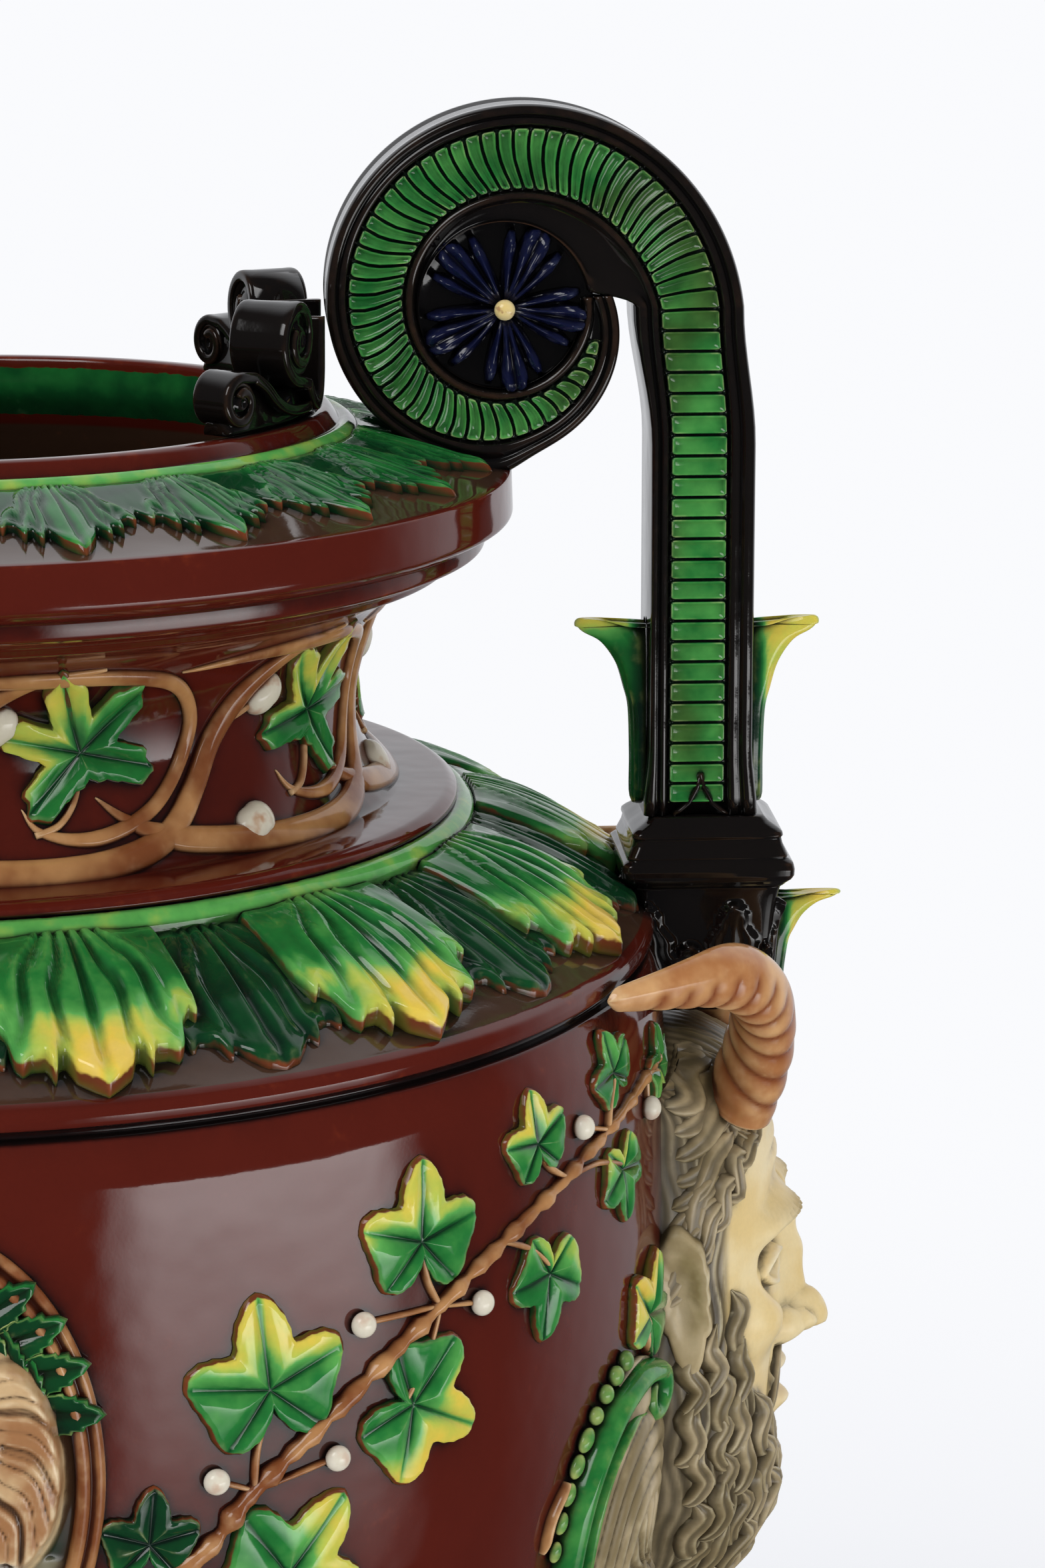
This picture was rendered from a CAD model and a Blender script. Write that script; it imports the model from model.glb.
import bisect
import math
from math import cos, hypot, pi, radians, sin, sqrt, tau

import bmesh
import bpy
import numpy as np
from mathutils import Matrix, Vector


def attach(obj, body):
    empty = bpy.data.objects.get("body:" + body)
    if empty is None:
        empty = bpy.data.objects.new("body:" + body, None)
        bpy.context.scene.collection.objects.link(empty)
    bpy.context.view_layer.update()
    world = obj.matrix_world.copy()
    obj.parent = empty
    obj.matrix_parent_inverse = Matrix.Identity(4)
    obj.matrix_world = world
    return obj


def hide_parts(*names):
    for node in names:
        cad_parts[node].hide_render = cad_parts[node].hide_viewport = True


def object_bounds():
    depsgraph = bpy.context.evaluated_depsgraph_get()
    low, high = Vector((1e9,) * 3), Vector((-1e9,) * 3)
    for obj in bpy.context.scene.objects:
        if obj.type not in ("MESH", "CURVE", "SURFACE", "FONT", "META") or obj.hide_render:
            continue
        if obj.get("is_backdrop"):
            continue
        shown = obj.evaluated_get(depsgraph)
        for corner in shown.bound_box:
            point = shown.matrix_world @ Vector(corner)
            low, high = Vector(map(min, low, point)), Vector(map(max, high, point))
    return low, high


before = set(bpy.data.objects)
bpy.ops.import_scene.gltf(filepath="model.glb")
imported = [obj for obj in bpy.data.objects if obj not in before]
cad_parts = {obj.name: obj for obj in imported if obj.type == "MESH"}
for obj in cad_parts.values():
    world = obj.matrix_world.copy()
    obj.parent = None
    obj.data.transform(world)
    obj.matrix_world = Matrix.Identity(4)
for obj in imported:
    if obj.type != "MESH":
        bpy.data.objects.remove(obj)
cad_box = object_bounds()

# The table, camera and lamps.
# A pale table top in a white room. A wide low softbox stands at the right, a high one at the left,
# and the room is white behind the vase and dark behind the camera.

RIM_Z = 0.6457
ROOM_WHITE = (0.955, 0.962, 0.985)
scene = bpy.context.scene
scene.view_settings.view_transform = "Standard"

camera_data = bpy.data.cameras.new("camera")
camera_data.lens = 100
camera_data.sensor_width = 36
camera = bpy.data.objects.new("camera", camera_data)
camera.location = (0.0772, -1.2617, RIM_Z + 0.1976)
camera.rotation_euler = (radians(90 - 13.098), 0, radians(-4.125))
scene.collection.objects.link(camera)
scene.camera = camera


def wire(tree, node, inputs):
    """Link or set a node's inputs; colours are given without their alpha."""
    for key, value in inputs.items():
        if isinstance(value, bpy.types.NodeSocket):
            tree.links.new(value, node.inputs[key])
        else:
            node.inputs[key].default_value = (*value, 1) if isinstance(value, tuple) else value


def add_node(tree, kind, inputs, **settings):
    node = tree.nodes.new("ShaderNode" + kind)
    for key, value in settings.items():
        setattr(node, key, value)
    wire(tree, node, inputs)
    return node


def math_node(tree, operation, *values):
    return add_node(tree, "Math", dict(enumerate(values)), operation=operation).outputs[0]


def blend(tree, share, first, second):
    """Mix two colours by a share."""
    return add_node(tree, "Mix", {0: share, 6: first, 7: second}, data_type="RGBA").outputs[2]


def step(tree, value, low, high):
    """Smooth step of a value from 0 at low to 1 at high."""
    span = {"Value": value, "From Min": low, "From Max": high}
    return add_node(tree, "MapRange", span, interpolation_type="SMOOTHSTEP").outputs["Result"]


def object_place(tree):
    return add_node(tree, "TexCoord", {}).outputs["Object"]


def noise(tree, scale, detail=3, rough=0.5):
    """Clouds from 0 to 1, fixed to the piece; the scale is in clouds per metre."""
    clouds = {"Vector": object_place(tree), "Scale": scale, "Detail": detail, "Roughness": rough}
    return add_node(tree, "TexNoise", clouds).outputs["Fac"]


def softbox(name, place, aim, width, height, watts, low):
    """A rectangular lamp with soft sides, at its full level on top and at a share of it below."""
    lamp = bpy.data.lights.new(name, "AREA")
    lamp.shape = "RECTANGLE"
    lamp.size = width
    lamp.size_y = height
    lamp.energy = watts
    lamp.use_nodes = True
    glow = lamp.node_tree
    pane = add_node(glow, "SeparateXYZ", {0: glow.nodes.new("ShaderNodeNewGeometry").outputs["Parametric"]}).outputs
    edge = math_node(glow, "MINIMUM", pane["X"], math_node(glow, "SUBTRACT", 1, pane["X"]))
    fall = math_node(glow, "MULTIPLY_ADD", math_node(glow, "POWER", pane["Y"], 1.6), 1 - low, low)
    soft = math_node(glow, "MULTIPLY", step(glow, edge, 0, 0.22), fall)
    glow.links.new(soft, glow.nodes["Emission"].inputs["Strength"])
    item = bpy.data.objects.new(name, lamp)
    item.location = place
    item.rotation_euler = (Vector(aim) - Vector(place)).to_track_quat("-Z", "Y").to_euler()
    item.visible_camera = False
    scene.collection.objects.link(item)


softbox("low_softbox", (0.95, -0.92, 0.02), (0, -0.1, 0.34), 1.4, 0.62, 13, 0.08)
softbox("high_softbox", (-1.1, -1.5, 2.3), (0, 0, 0.5), 1.7, 1.3, 34, 0.8)

room = bpy.data.worlds.new("room")
room.use_nodes = True
scene.world = room
tree = room.node_tree
tree.nodes.clear()
looking = add_node(tree, "SeparateXYZ", {0: add_node(tree, "TexCoord", {}).outputs["Generated"]}).outputs
behind = step(tree, looking["Y"], 0.05, 0.55)
level = step(tree, looking["Z"], -0.75, 0.05)
seen = blend(tree, math_node(tree, "MULTIPLY", behind, level), (0.05, 0.05, 0.055), (0.86, 0.87, 0.9))
path = add_node(tree, "LightPath", {})
mirrored_ray = math_node(tree, "MAXIMUM", path.outputs["Is Glossy Ray"], path.outputs["Is Transmission Ray"])
light = blend(tree, mirrored_ray, (0.7, 0.7, 0.71), seen)
light = blend(tree, path.outputs["Is Camera Ray"], light, ROOM_WHITE)
shade = add_node(tree, "Background", {"Color": light, "Strength": 1})
tree.links.new(shade.outputs[0], add_node(tree, "OutputWorld", {}).inputs[0])


def grid(across, up, size=0.5):
    bm = bmesh.new()
    bmesh.ops.create_grid(bm, x_segments=across, y_segments=up, size=size)
    return bm


table = grid(2, 2, 9)
table_mesh = bpy.data.meshes.new("table")
table.to_mesh(table_mesh)
table.free()
table_top = bpy.data.objects.new("table", table_mesh)
scene.collection.objects.link(table_top)
table_top.visible_glossy = False
table_paint = bpy.data.materials.new("table_paint")
table_paint.use_nodes = True
tree = table_paint.node_tree
paint = blend(tree, noise(tree, 3), (0.84, 0.85, 0.87), (0.9, 0.91, 0.93))
away = add_node(tree, "VectorMath", {0: object_place(tree)}, operation="LENGTH").outputs["Value"]
watched = add_node(tree, "LightPath", {}).outputs["Is Camera Ray"]
faded = math_node(tree, "MULTIPLY", watched, step(tree, away, 0.35, 1.5))
glow = blend(tree, watched, (0, 0, 0), (0.2, 0.205, 0.22))
wire(tree, tree.nodes["Principled BSDF"], {
    "Roughness": 0.9, "Specular IOR Level": 0, "Emission Strength": 1,
    "Base Color": blend(tree, faded, paint, (0, 0, 0)),
    "Emission Color": blend(tree, faded, glow, ROOM_WHITE),
})
table_mesh.materials.append(table_paint)
table_top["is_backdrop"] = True

# Rim and neck.
# One turned shell of glazed earthenware: a lip with a green torus, a sloping collar, a thick
# flange and a deep cove down to the foot ring that sits on the body. It is cast and turned true.

FRONT = radians(-90)
TURNS = 240
MM = 0.001
WELD = 0.000008


def rounded(points, longest=3):
    """Corners of a profile, (r, z, radius) in mm, cut to short arcs, and long runs divided."""
    smooth = []
    for i, (r, z, radius) in enumerate(points):
        here = Vector((r, z))
        before = Vector(points[i - 1][:2])
        after = Vector(points[(i + 1) % len(points)][:2])
        back = (before - here).normalized()
        ahead = (after - here).normalized()
        cut = min(radius, (before - here).length * 0.45, (after - here).length * 0.45)
        if cut < 0.05:
            smooth.append(here)
            continue
        bends = 5 if cut > 0.9 else 3
        for k in range(bends + 1):
            s = k / bends
            smooth.append(here + back * cut * (1 - s) ** 2 + ahead * cut * s ** 2)
    divided = []
    for i, point in enumerate(smooth):
        before = smooth[i - 1]
        pieces = max(1, math.ceil((point - before).length / longest))
        divided += [before.lerp(point, k / pieces) for k in range(1, pieces + 1)]
    return divided


def spun(profile, steps=TURNS):
    """A fine grid bent round the Z axis to a closed profile of (radius, height) in mm."""
    count = len(profile)
    bm = grid(steps, count)
    for vert in bm.verts:
        radius, height = profile[round((vert.co.y + 0.5) * count) % count]
        angle = tau * (vert.co.x + 0.5)
        vert.co = (radius * MM * cos(angle), radius * MM * sin(angle), height * MM)
    bmesh.ops.remove_doubles(bm, verts=bm.verts, dist=WELD)
    return bm


def mark_relief(mesh, reach):
    """Store how far each point stands out of its surroundings: 1 on sharp edges, -1 in creases."""
    count = len(mesh.vertices)
    spots, ways = np.empty(count * 3), np.empty(count * 3, dtype=np.float32)
    ends = np.empty(len(mesh.edges) * 2, dtype=np.int32)
    mesh.vertices.foreach_get("co", spots)
    mesh.vertices.foreach_get("normal", ways)
    mesh.edges.foreach_get("vertices", ends)
    spots, ways = spots.reshape(-1, 3), ways.reshape(-1, 3)
    first, second = ends[0::2], ends[1::2]

    def pooled(at_first, at_second):
        """Sum in each point over the edges that meet there."""
        return np.bincount(first, at_first, count) + np.bincount(second, at_second, count)

    along = spots[second] - spots[first]
    squared = np.maximum((along ** 2).sum(axis=1), 1e-12)
    weight = np.sqrt(squared)
    bend_first, bend_second = (2 * (along * ways[end]).sum(axis=1) / squared * weight for end in (first, second))
    bend = np.tanh(pooled(-bend_first, bend_second) / np.maximum(pooled(weight, weight), 1e-9) * reach)
    degree = np.maximum(np.bincount(ends, minlength=count), 1)
    for _ in range(2):
        bend = 0.5 * bend + 0.5 * pooled(bend[second], bend[first]) / degree
    mesh.attributes.new("raised", "FLOAT", "POINT").data.foreach_set("value", bend.astype(np.float32))


def placed(name, bm, glaze, slot, node=None, reach=0.0012):
    """Close a piece's seams, turn its faces out, glaze it, and put it on the body for its CAD node."""
    bmesh.ops.remove_doubles(bm, verts=bm.verts, dist=WELD)
    bmesh.ops.recalc_face_normals(bm, faces=bm.faces)
    if bm.calc_volume(signed=True) < 0:
        bmesh.ops.reverse_faces(bm, faces=bm.faces)
    mesh = bpy.data.meshes.new(name)
    bm.to_mesh(mesh)
    bm.free()
    mesh.shade_smooth()
    mark_relief(mesh, reach)
    mesh.materials.append(glaze)
    item = bpy.data.objects.new(name, mesh)
    scene.collection.objects.link(item)
    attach(item, "root")
    if node:
        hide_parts(node)


def store(bm, name):
    return bm.verts.layers.float.get(name) or bm.verts.layers.float.new(name)


def painted(bm, name, value_at):
    """Store a value for every point of a round piece, worked out from its radius and height."""
    layer = store(bm, name)
    for vert in bm.verts:
        vert[layer] = value_at(hypot(vert.co.x, vert.co.y), vert.co.z)


def attribute(tree, name):
    return add_node(tree, "Attribute", {}, attribute_name=name).outputs["Fac"]


def swung(tree, value, share):
    """A share of how far a value stands over or under a half."""
    return math_node(tree, "MULTIPLY", math_node(tree, "SUBTRACT", value, 0.5), share)


def pooled_glaze():
    """Node group: glaze runs thin over raised edges and pools dark in creases and corners."""
    tree = bpy.data.node_groups.new("pooled_glaze", "ShaderNodeTree")
    for kind, way, names in (
        ("Color", "INPUT", ("Glaze", "Thin", "Pooled")), ("Float", "INPUT", ("Openness", "Patch Size", "Patchiness")),
        ("Color", "OUTPUT", ("Color",)), ("Float", "OUTPUT", ("Height",)),
    ):
        for name in names:
            tree.interface.new_socket(name=name, in_out=way, socket_type="NodeSocket" + kind)
    given = tree.nodes.new("NodeGroupInput").outputs
    specks = noise(tree, 900, 2)
    swing = swung(tree, noise(tree, given["Patch Size"], 4, 0.6), given["Patchiness"])
    fine = swung(tree, noise(tree, 260), 0.5)
    stand = math_node(tree, "ADD", attribute(tree, "raised"), fine)
    sunk = math_node(tree, "SUBTRACT", fine, attribute(tree, "raised"))
    shut = math_node(tree, "SUBTRACT", 1, given["Openness"])
    sunk = math_node(tree, "ADD", sunk, math_node(tree, "MULTIPLY", shut, 2.3))
    thin = step(tree, math_node(tree, "ADD", stand, swing), 0.1, 0.75)
    pool = step(tree, math_node(tree, "SUBTRACT", sunk, swing), 0.15, 1)
    tone = blend(tree, thin, given["Glaze"], given["Thin"])
    tone = blend(tree, pool, tone, given["Pooled"])
    shift = math_node(tree, "MULTIPLY_ADD", swing, 0.55, 1)
    value = math_node(tree, "MULTIPLY", shift, math_node(tree, "MULTIPLY_ADD", specks, 0.1, 0.95))
    wire(tree, tree.nodes.new("NodeGroupOutput"), {
        "Color": add_node(tree, "HueSaturation", {"Value": value, "Color": tone}).outputs["Color"],
        "Height": math_node(tree, "MULTIPLY_ADD", specks, 0.015, noise(tree, 38, 2)),
    })
    return tree


GLAZE_FLOW = pooled_glaze()


def glazed(name, colours, roughness, patch_size=30, patchiness=0.5, wave=0.00045, reach=0.01):
    """A glossy glaze. colours(tree) gives its body, thin and pooled colours."""
    material = bpy.data.materials.new(name)
    material.use_nodes = True
    tree = material.node_tree
    body, thin, pooled = colours(tree)
    corner = add_node(tree, "AmbientOcclusion", {"Distance": reach}, samples=6).outputs["AO"]
    flow = add_node(tree, "Group", {}, node_tree=GLAZE_FLOW)
    wire(tree, flow, {
        "Glaze": body, "Thin": thin, "Pooled": pooled, "Openness": corner, "Patch Size": patch_size,
        "Patchiness": patchiness,
    })
    bump = add_node(tree, "Bump", {"Height": flow.outputs["Height"], "Strength": 1, "Distance": wave})
    wire(tree, tree.nodes["Principled BSDF"], {
        "Roughness": roughness, "IOR": 1.52, "Base Color": flow.outputs["Color"], "Normal": bump.outputs["Normal"],
    })
    return material


def green_run(tree):
    """Colours of the green glazes by their tint: dark bottle green (0), leaf green, yellow (1)."""
    drift = swung(tree, noise(tree, 95), 0.34)
    ramp = add_node(tree, "ValToRGB", {0: math_node(tree, "ADD", attribute(tree, "tint"), drift)})
    shades = (
        (0, (0.003, 0.02, 0.01)),
        (0.22, (0.006, 0.07, 0.018)),
        (0.42, (0.018, 0.185, 0.036)),
        (0.6, (0.11, 0.4, 0.085)),
        (0.74, (0.48, 0.56, 0.085)),
        (0.88, (0.78, 0.56, 0.075)),
        (1, (0.8, 0.56, 0.15)),
    )
    ends = ramp.color_ramp.elements
    ends[0].color, ends[1].color = (*shades[0][1], 1), (*shades[-1][1], 1)
    for place, colour in shades[1:-1]:
        ends.new(place).color = (*colour, 1)
    return ramp.outputs["Color"]


def body_colours(tree):
    """Red-brown, with bands painted green or left dusty and dark."""
    brush = swung(tree, noise(tree, 240), 0.9)
    cover = step(tree, math_node(tree, "ADD", attribute(tree, "green"), brush), 0.42, 0.58)
    dusty = step(tree, attribute(tree, "dusty"), 0.1, 0.9)
    body = blend(tree, dusty, (0.088, 0.0105, 0.0055), (0.06, 0.03, 0.018))
    body = blend(tree, cover, body, green_run(tree))
    thin = blend(tree, cover, (0.4, 0.072, 0.018), (0.26, 0.46, 0.2))
    return body, thin, (0.007, 0.005, 0.005)


RED_BROWN = glazed("red_brown_glaze", body_colours, 0.07, reach=0.012)

WAIST = (117.3, RIM_Z / MM - 64)


def cove_radius(height):
    """Outer radius of the neck's cove in m, at a height in m."""
    share = min(abs(height / MM - WAIST[1]) / 36, 0.97)
    return (WAIST[0] + 31 * (1 - sqrt(1 - share * share))) * MM


def slope_point(share):
    """(radius, height) in m on the leafy slope, from the lip (0) to the flange's edge (1)."""
    return 0.1195 + 0.0445 * share, RIM_Z + 0.0004 + 0.011 * (1 - share) ** 1.3


def above(points):
    """Profile points given from the top of the flange, in mm."""
    return [(r, RIM_Z / MM + z, radius) for r, z, radius in points]


rim_points = above((
    (106, 19, 2.2), (111.3, 19, 1.6), (113.6, 15.8, 0.9), (114.6, 14.4, 0.4), (116.9, 15.2, 1.3),
    (119.7, 13.2, 1.4), (119.9, 11, 0.4),
))
rim_points += [(slope_point(i / 12)[0] / MM, slope_point(i / 12)[1] / MM, 0) for i in range(1, 12)]
rim_points += above((
    (164.6, 0.2, 1), (165, -12.6, 1.6), (160.4, -15.4, 0.8), (157, -16.6, 0.5),
    (156.8, -21.3, 1.1), (148.4, -24.6, 1), (146.6, -27.2, 1),
))
cove_top = WAIST[1] + 34.56
cove_low = 553.2
for i in range(29):
    height = cove_top + (cove_low - cove_top) * i / 28
    rim_points.append((cove_radius(height * MM) / MM, height, 0))
rim_points += [(146, 552.8, 1.2), (148.5, 550.9, 0.9), (148.5, 549.2, 0)]
rim_points += [
    (129.5, 549.2, 0), (120.3, 558.7, 3), (107.8, 573.7, 6), (107.8, 591.7, 8),
    (127.3, 623.7, 6), (114, 640.7, 5), (106, 653.7, 4),
]
rim = spun(rounded(rim_points))


def rim_green(radius, z):
    torus = z > RIM_Z + 0.0108 and 0.1146 < radius < 0.1205
    return 1 if torus or (radius < 0.1105 and RIM_Z - 0.015 < z < RIM_Z + 0.0165) else 0


def rim_tint(radius, z):
    return 0.62 if radius > 0.1125 else 0.22 * min(max((z - RIM_Z + 0.004) / 0.014, 0), 1) + 0.04


def rim_dusty(radius, z):
    if z > RIM_Z and 0.122 < radius < 0.1632:
        return 0.9
    return 1 if radius < 0.135 and z < RIM_Z - 0.004 and radius < cove_radius(z) - 0.003 else 0


painted(rim, "green", rim_green)
painted(rim, "tint", rim_tint)
painted(rim, "dusty", rim_dusty)
placed("rim_shell", rim, RED_BROWN, "red_brown_glaze", "rim_and_neck", reach=0.0016)

# Body of the vase.
# A thick hollow shell of the same clay, cast in a mould and turned: a rounded shoulder, a ridge with
# a dark groove under it, and a full belly that narrows to a seat on the socle.

BELLY_WIDE = 0.2125
BELLY_Z = 0.4059
GROOVE_Z = 0.5039
RIDGE_Z = 0.5144
SHOULDER_Z = 0.5409
BODY_BOTTOM_Z = 0.1349


def belly_radius(height):
    """Outer radius of the belly in m at a height in m."""
    if height >= BELLY_Z:
        return BELLY_WIDE * sqrt(1 - ((height - BELLY_Z) / 0.48) ** 2)
    share = min((BELLY_Z - height) / 0.278, 1)
    return BELLY_WIDE * (1 - share ** 2.1) ** (1 / 2.1)


def shoulder_point(share):
    """(radius, height) in m on the shoulder, from the roll (0) to the ridge (1)."""
    return 0.153 + 0.0516 * share, SHOULDER_Z - 0.0265 * share ** 1.15


body_points = [(147.5, 548.9, 0), (150.5, 548.6, 0.8), (153.4, 546.2, 1.5), (153.2, 542.2, 1.2)]
body_points += [(shoulder_point(i / 16)[0] / MM, shoulder_point(i / 16)[1] / MM, 0) for i in range(1, 16)]
body_points += [
    (204, 515, 1), (206.2, 513.6, 1), (206.9, 511.2, 0.6), (206.6, 508.6, 1), (202.8, 507.6, 0.7),
    (202.4, 505.6, 0.7), (205.6, 504.7, 1),
]
for i in range(1, 73):
    height = GROOVE_Z + (BODY_BOTTOM_Z + 0.0062 - GROOVE_Z) * sin(i / 72 * pi / 2)
    body_points.append((belly_radius(height) / MM, height / MM, 0))
body_points += [(59, 140.6, 1), (59, 134.9, 0), (7.5, 134.9, 0), (7.5, 150.9, 0), (35.4, 150.9, 6)]
for i in range(1, 12):
    height = 0.1509 + (GROOVE_Z - 0.1509) * (i / 11) ** 1.35
    body_points.append((belly_radius(height) / MM - 9.5, height / MM, 0))
body_points += [(143.5, 531.4, 3), (129.5, 548.9, 0)]
body = spun(rounded(body_points, 6.5))
painted(body, "green", lambda radius, z: 1 if 0.1485 < radius < 0.158 and z > SHOULDER_Z - 0.003 else 0)
painted(body, "tint", lambda radius, z: 0.6)
dusty = store(body, "dusty")
for vert in body.verts:
    x, y, z = vert.co
    near_mask = hypot(y / 0.075, (z - 0.43) / 0.13)
    open_ledge = z > RIDGE_Z + 0.0008 and hypot(x, y) > 0.156
    vert[dusty] = 1 if open_ledge else min(max(1.6 - 1.5 * near_mask, 0), 1) * 0.8
placed("body_glazed", body, RED_BROWN, "red_brown_glaze", "body_shell", reach=0.0018)

# Leaf collars on the rim and the shoulder.
# Rings of acanthus pressed from moulds and luted on: 22 on the rim's slope, and 13 bright leaves
# over 13 dark ones on the shoulder, painted green and yellow with brown edges.


def ease(value):
    value = min(max(value, 0), 1)
    return value * value * (3 - 2 * value)


def between(place, row, soft=True):
    """Value at a place on a row of (place, value) stops."""
    for (low, start), (high, end) in zip(row, row[1:]):
        if place <= high:
            share = (place - low) / (high - low)
            return start + (end - start) * (ease(share) if soft else share)
    return row[-1][1]


def measured(curve):
    """Point and outward normal at a length down a curve of (radius, height), and its total."""
    count = 60
    points = [curve(i / count) for i in range(count + 1)]
    lengths = [0]
    for first, second in zip(points, points[1:]):
        lengths.append(lengths[-1] + math.dist(first, second))

    def at(length):
        k = min(max(bisect.bisect_right(lengths, length) - 1, 0), count - 1)
        (r, z), (next_r, next_z) = points[k], points[k + 1]
        span = lengths[k + 1] - lengths[k]
        share = (length - lengths[k]) / span
        dr, dz = next_r - r, next_z - z
        return r + dr * share, z + dz * share, -dz / span, dr / span

    return at, lengths[-1]


def tabled(row, soft=True):
    """A row of stops as a quick function of the place between the first and the last."""
    size = 600
    low, span = row[0][0], row[-1][0] - row[0][0]
    values = [between(low + span * i / size, row, soft) for i in range(size + 1)]
    return lambda place: values[min(max(int((place - low) / span * size + 0.5), 0), size)]


def thousandths(*values):
    """(place, value) stops from a row of numbers in thousandths."""
    return [(place / 1000, value / 1000) for place, value in zip(values[::2], values[1::2])]


def rolled_edge(share, start):
    """1 up to the start of a sheet's rolled edge, and down to 0 in a quarter round at its end."""
    return sqrt(max(1 - ease((share - start) / (1 - start)) ** 2, 0))


def merged(pieces):
    """One bmesh of several, which are freed."""
    whole = bmesh.new()
    for piece in pieces:
        mesh = bpy.data.meshes.new("piece")
        piece.to_mesh(mesh)
        piece.free()
        whole.from_mesh(mesh)
        bpy.data.meshes.remove(mesh)
    return whole


LEAF_ROWS = [0] + [i / 17 * 0.93 for i in range(18)] + [0.955, 0.975, 0.99, 1, 1, 0]


def collar(curve, count, samples, span, hem, flutes, thickness, fold, lift, tint, start=0, way=1, turn=0):
    """Leaves on a turned curve, each a sheet with a jagged hem, deep flutes and a rolled edge.

    Places across a leaf run from -0.5 to 0.5 of its pitch; the sheet covers -span to span. hem
    gives its reach, flutes the height of its folds, both by the place across.
    """
    at, total = measured(curve)
    hem, flutes = tabled(hem, False), tabled(flutes)
    last = len(LEAF_ROWS) - 1
    whole = span >= 0.5
    leaves = []
    for leaf in range(1 if whole else count):
        bm = grid(count * samples if whole else samples, last)
        tint_layer, brim_layer = store(bm, "tint"), store(bm, "brim")
        for vert in bm.verts:
            row = round((vert.co.y + 0.5) * last)
            share = vert.co.x + 0.5
            position = share * count if whole else leaf + (share * 2 - 1) * span
            across = position - round(position) if whole else position - leaf
            side = abs(across)
            t = LEAF_ROWS[row]
            reach = hem(side)
            sway = 0.022 * sin(7 * t + 14 * side) * ease(side * 9) * ease((1 - t) * 5)
            ridge = flutes(min(max(side / (0.42 + 0.58 * t ** 0.75) + sway, 0), 0.5))
            edge = rolled_edge(t, 0.93)
            if not whole:
                edge *= rolled_edge(side / span, 0.9)
            swell = sin(pi * (0.16 + 0.66 * t)) * (1 - 0.77 * side)
            fold_now = fold * ridge * (0.35 + 0.65 * sin(pi * min(0.12 + 0.8 * t, 1)))
            height = lift + (thickness + thickness * swell + fold_now) * edge
            height += 0.0005 * ease((t - 0.8) / 0.1) * edge
            if row == 0 or row >= last - 1 or (not whole and side > span * 0.999):
                height = -0.0006
            r, z, out, up = at(total * (start + way * reach * t))
            angle = FRONT + turn + tau * position / count
            radius = r + out * height
            vert.co = (radius * cos(angle), radius * sin(angle), z + up * height)
            vert[tint_layer], rim_share = tint(across, t, ridge)
            vert[brim_layer] = rim_share if whole else max(rim_share, ease((side / span - 0.93) / 0.07))
        leaves.append(bm)
    return merged(leaves)


def leaf_colours(tree):
    """Green to yellow by the tint, with a brown edge where the glaze runs off it."""
    green = green_run(tree)
    run = swung(tree, noise(tree, 210, 2), 0.9)
    cover = step(tree, math_node(tree, "ADD", attribute(tree, "brim"), run), 0.45, 0.75)
    body = blend(tree, cover, green, (0.15, 0.036, 0.013))
    pale = blend(tree, 0.45, green, (0.62, 0.68, 0.32))
    thin = blend(tree, cover, pale, (0.36, 0.095, 0.03))
    dark = blend(tree, 0.8, green, (0.003, 0.01, 0.006))
    return body, thin, dark


LEAF_GLAZE = glazed("leaf_glaze", leaf_colours, 0.09, patch_size=60, patchiness=0.35, reach=0.006)

RIM_HEM = thousandths(
    0, 900, 40, 860, 100, 750, 155, 580, 190, 660, 215, 750, 250, 580, 285, 600, 310, 680, 350, 500, 410, 500,
    435, 570, 465, 460, 500, 400,
)
RIM_FLUTES = thousandths(
    0, 150, 35, 1000, 100, 800, 165, 100, 215, 1000, 255, 150, 310, 950, 360, 100, 430, 800, 500, 0,
)


def rim_leaf_tint(across, t, ridge):
    tip = ease((t - 0.78) / 0.2) * ease(1 - abs(across) / 0.14)
    return 0.12 + 0.24 * ridge + 0.16 * tip + 0.16 * ease(1 - t / 0.2), ease((t - 0.945) / 0.04)


rim_leaf_sheet = collar(slope_point, 22, 52, 0.5, RIM_HEM, RIM_FLUTES, 0.0009, 0.0017, 0.0001, rim_leaf_tint)
placed("rim_leaf_ring", rim_leaf_sheet, LEAF_GLAZE, "green_glaze", "rim_leaves")

DARK_HEM = thousandths(
    0, 955, 50, 930, 90, 860, 115, 800, 135, 870, 160, 760, 210, 740, 235, 800, 260, 660, 340, 600, 420, 400,
    500, 300,
)
DARK_FLUTES = thousandths(
    0, 100, 30, 1000, 75, 700, 115, 100, 160, 900, 210, 100, 280, 600, 500, 0,
)
BRIGHT_HEM = thousandths(
    0, 985, 30, 950, 75, 890, 100, 790, 118, 810, 130, 900, 150, 800, 190, 800, 215, 830, 235, 800, 255, 660,
    285, 600, 305, 640, 325, 500, 335, 420,
)
BRIGHT_FLUTES = thousandths(
    0, 0, 35, 850, 75, 800, 110, 50, 150, 900, 200, 850, 245, 100, 290, 900, 335, 400, 500, 0,
)


def dark_tint(across, t, ridge):
    return 0.02 + 0.13 * ridge + 0.1 * ease(1 - t / 0.15), 0.75 * ease((t - 0.95) / 0.04)


def bright_tint(across, t, ridge):
    yellow = ease((t - 0.5) / 0.3) * (0.45 + 0.55 * ease(1 - abs(across) / 0.26))
    return 0.3 + 0.16 * ridge + 0.5 * yellow + 0.16 * ease(1 - t / 0.1), ease((t - 0.955) / 0.04)


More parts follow.
